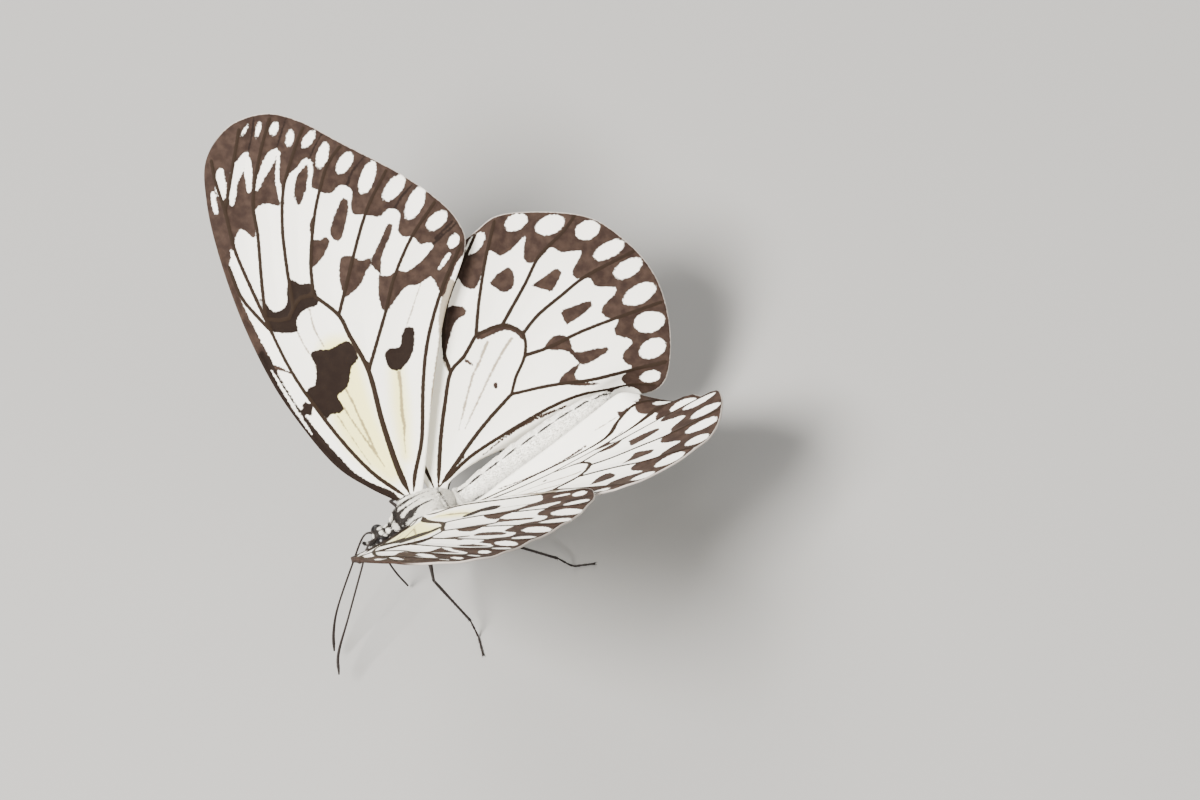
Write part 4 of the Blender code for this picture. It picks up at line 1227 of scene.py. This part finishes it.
def eye_finish():
    """Dark and glossy, with the fine net of a compound eye."""
    made = Nodes("eye_surface", 0.3, 0.35)
    where = made.position()
    cells = made.add("ShaderNodeTexVoronoi", feature="DISTANCE_TO_EDGE")
    cells.inputs["Scale"].default_value = 14000
    made.put(where, cells.inputs["Vector"])
    made.colour(made.mix(made.ramp(made.noise(900, 2, where), 0.4, 0.7), *EYE_COLOURS))
    made.bump(made.ramp(cells.outputs["Distance"], 0.0, 0.25), 0.12, 0.00001)
    return made.material


def limb_finish():
    made = Nodes("leg_and_feeler", 0.5, 0.22)
    fine = made.noise(5000, 3, made.position())
    made.colour(made.mix(fine, *LIMB_COLOURS))
    made.bump(fine, 0.4, 0.00004)
    return made.material


# Setting


def add_floor():
    bpy.ops.mesh.primitive_plane_add(size=FLOOR_SIZE)
    floor = bpy.context.object
    floor.name = "floor"
    made = Nodes("floor_surface", 0.65, 0.2)
    made.colour(FLOOR)
    floor.data.materials.append(made.material)


def add_light(name, place, power, size, target):
    lamp = bpy.data.lights.new(name, "AREA")
    lamp.energy = power
    lamp.size = size
    lamp.color = LAMP
    made = bpy.data.objects.new(name, lamp)
    bpy.context.scene.collection.objects.link(made)
    made.location = place
    made.rotation_euler = (target - Vector(place)).to_track_quat("-Z", "Y").to_euler()


def add_camera():
    """The photo's view: from the butterfly's left and above, rolled so that the head is at the lower left."""
    right = Vector(CAMERA_RIGHT).normalized()
    back = Vector(CAMERA_BACK).normalized()
    up = back.cross(right).normalized()
    right = up.cross(back)
    data = bpy.data.cameras.new("camera")
    data.lens = CAMERA_LENS
    data.sensor_width = SENSOR_WIDTH
    data.clip_start = 0.01
    camera = bpy.data.objects.new("camera", data)
    bpy.context.scene.collection.objects.link(camera)
    place = Vector(MIDDLE) + right * CAMERA_ASIDE + up * CAMERA_ABOVE + back * CAMERA_DISTANCE
    camera.matrix_world = Matrix.Translation(place) @ Matrix((right, up, back)).transposed().to_4x4()
    bpy.context.scene.camera = camera


def add_world():
    world = bpy.data.worlds.new("studio")
    world.use_nodes = True
    background = world.node_tree.nodes["Background"]
    background.inputs["Color"].default_value = SKY
    background.inputs["Strength"].default_value = SKY_STRENGTH
    bpy.context.scene.world = world


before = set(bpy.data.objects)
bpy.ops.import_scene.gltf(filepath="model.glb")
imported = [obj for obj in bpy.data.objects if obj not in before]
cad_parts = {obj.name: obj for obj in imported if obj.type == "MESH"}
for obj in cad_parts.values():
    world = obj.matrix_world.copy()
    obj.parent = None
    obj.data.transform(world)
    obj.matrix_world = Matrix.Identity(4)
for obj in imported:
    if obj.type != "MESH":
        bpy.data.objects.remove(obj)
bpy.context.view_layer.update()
thorax_low, thorax_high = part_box("thorax")
MIDDLE = np.array((
    (thorax_low[0] + thorax_high[0]) / 2,
    thorax_low[1] - FRONT_OF_THORAX * MM,
    STANDING_HEIGHT * MM,
))

skin = body_skin()
body_scales = body_finish()
add_skin(skin[0], skin[1], body_scales)
add_coats(skin, body_scales)
add_limbs(limb_finish(), eye_finish())

scales = wing_finish()
forewing_lines = (*FOREWING_SHADES, *FOREWING_FOLDS, FOREWING_PAINTED_HIGHLIGHT)
forewing = flat_wing(FOREWING_OUTLINE, FOREWING_VEINS, forewing_lines, forewing_markings)
hindwing = flat_wing(HINDWING_OUTLINE, HINDWING_VEINS, HINDWING_SHADES, hindwing_markings)
for name in WING_PLACES:
    add_wing(name, forewing if name.startswith("forewing") else hindwing, scales)

add_floor()
add_world()
for light in LIGHTS:
    add_light(*light, Vector(MIDDLE) + Vector((0, 0, LIT_HEIGHT)))
add_camera()
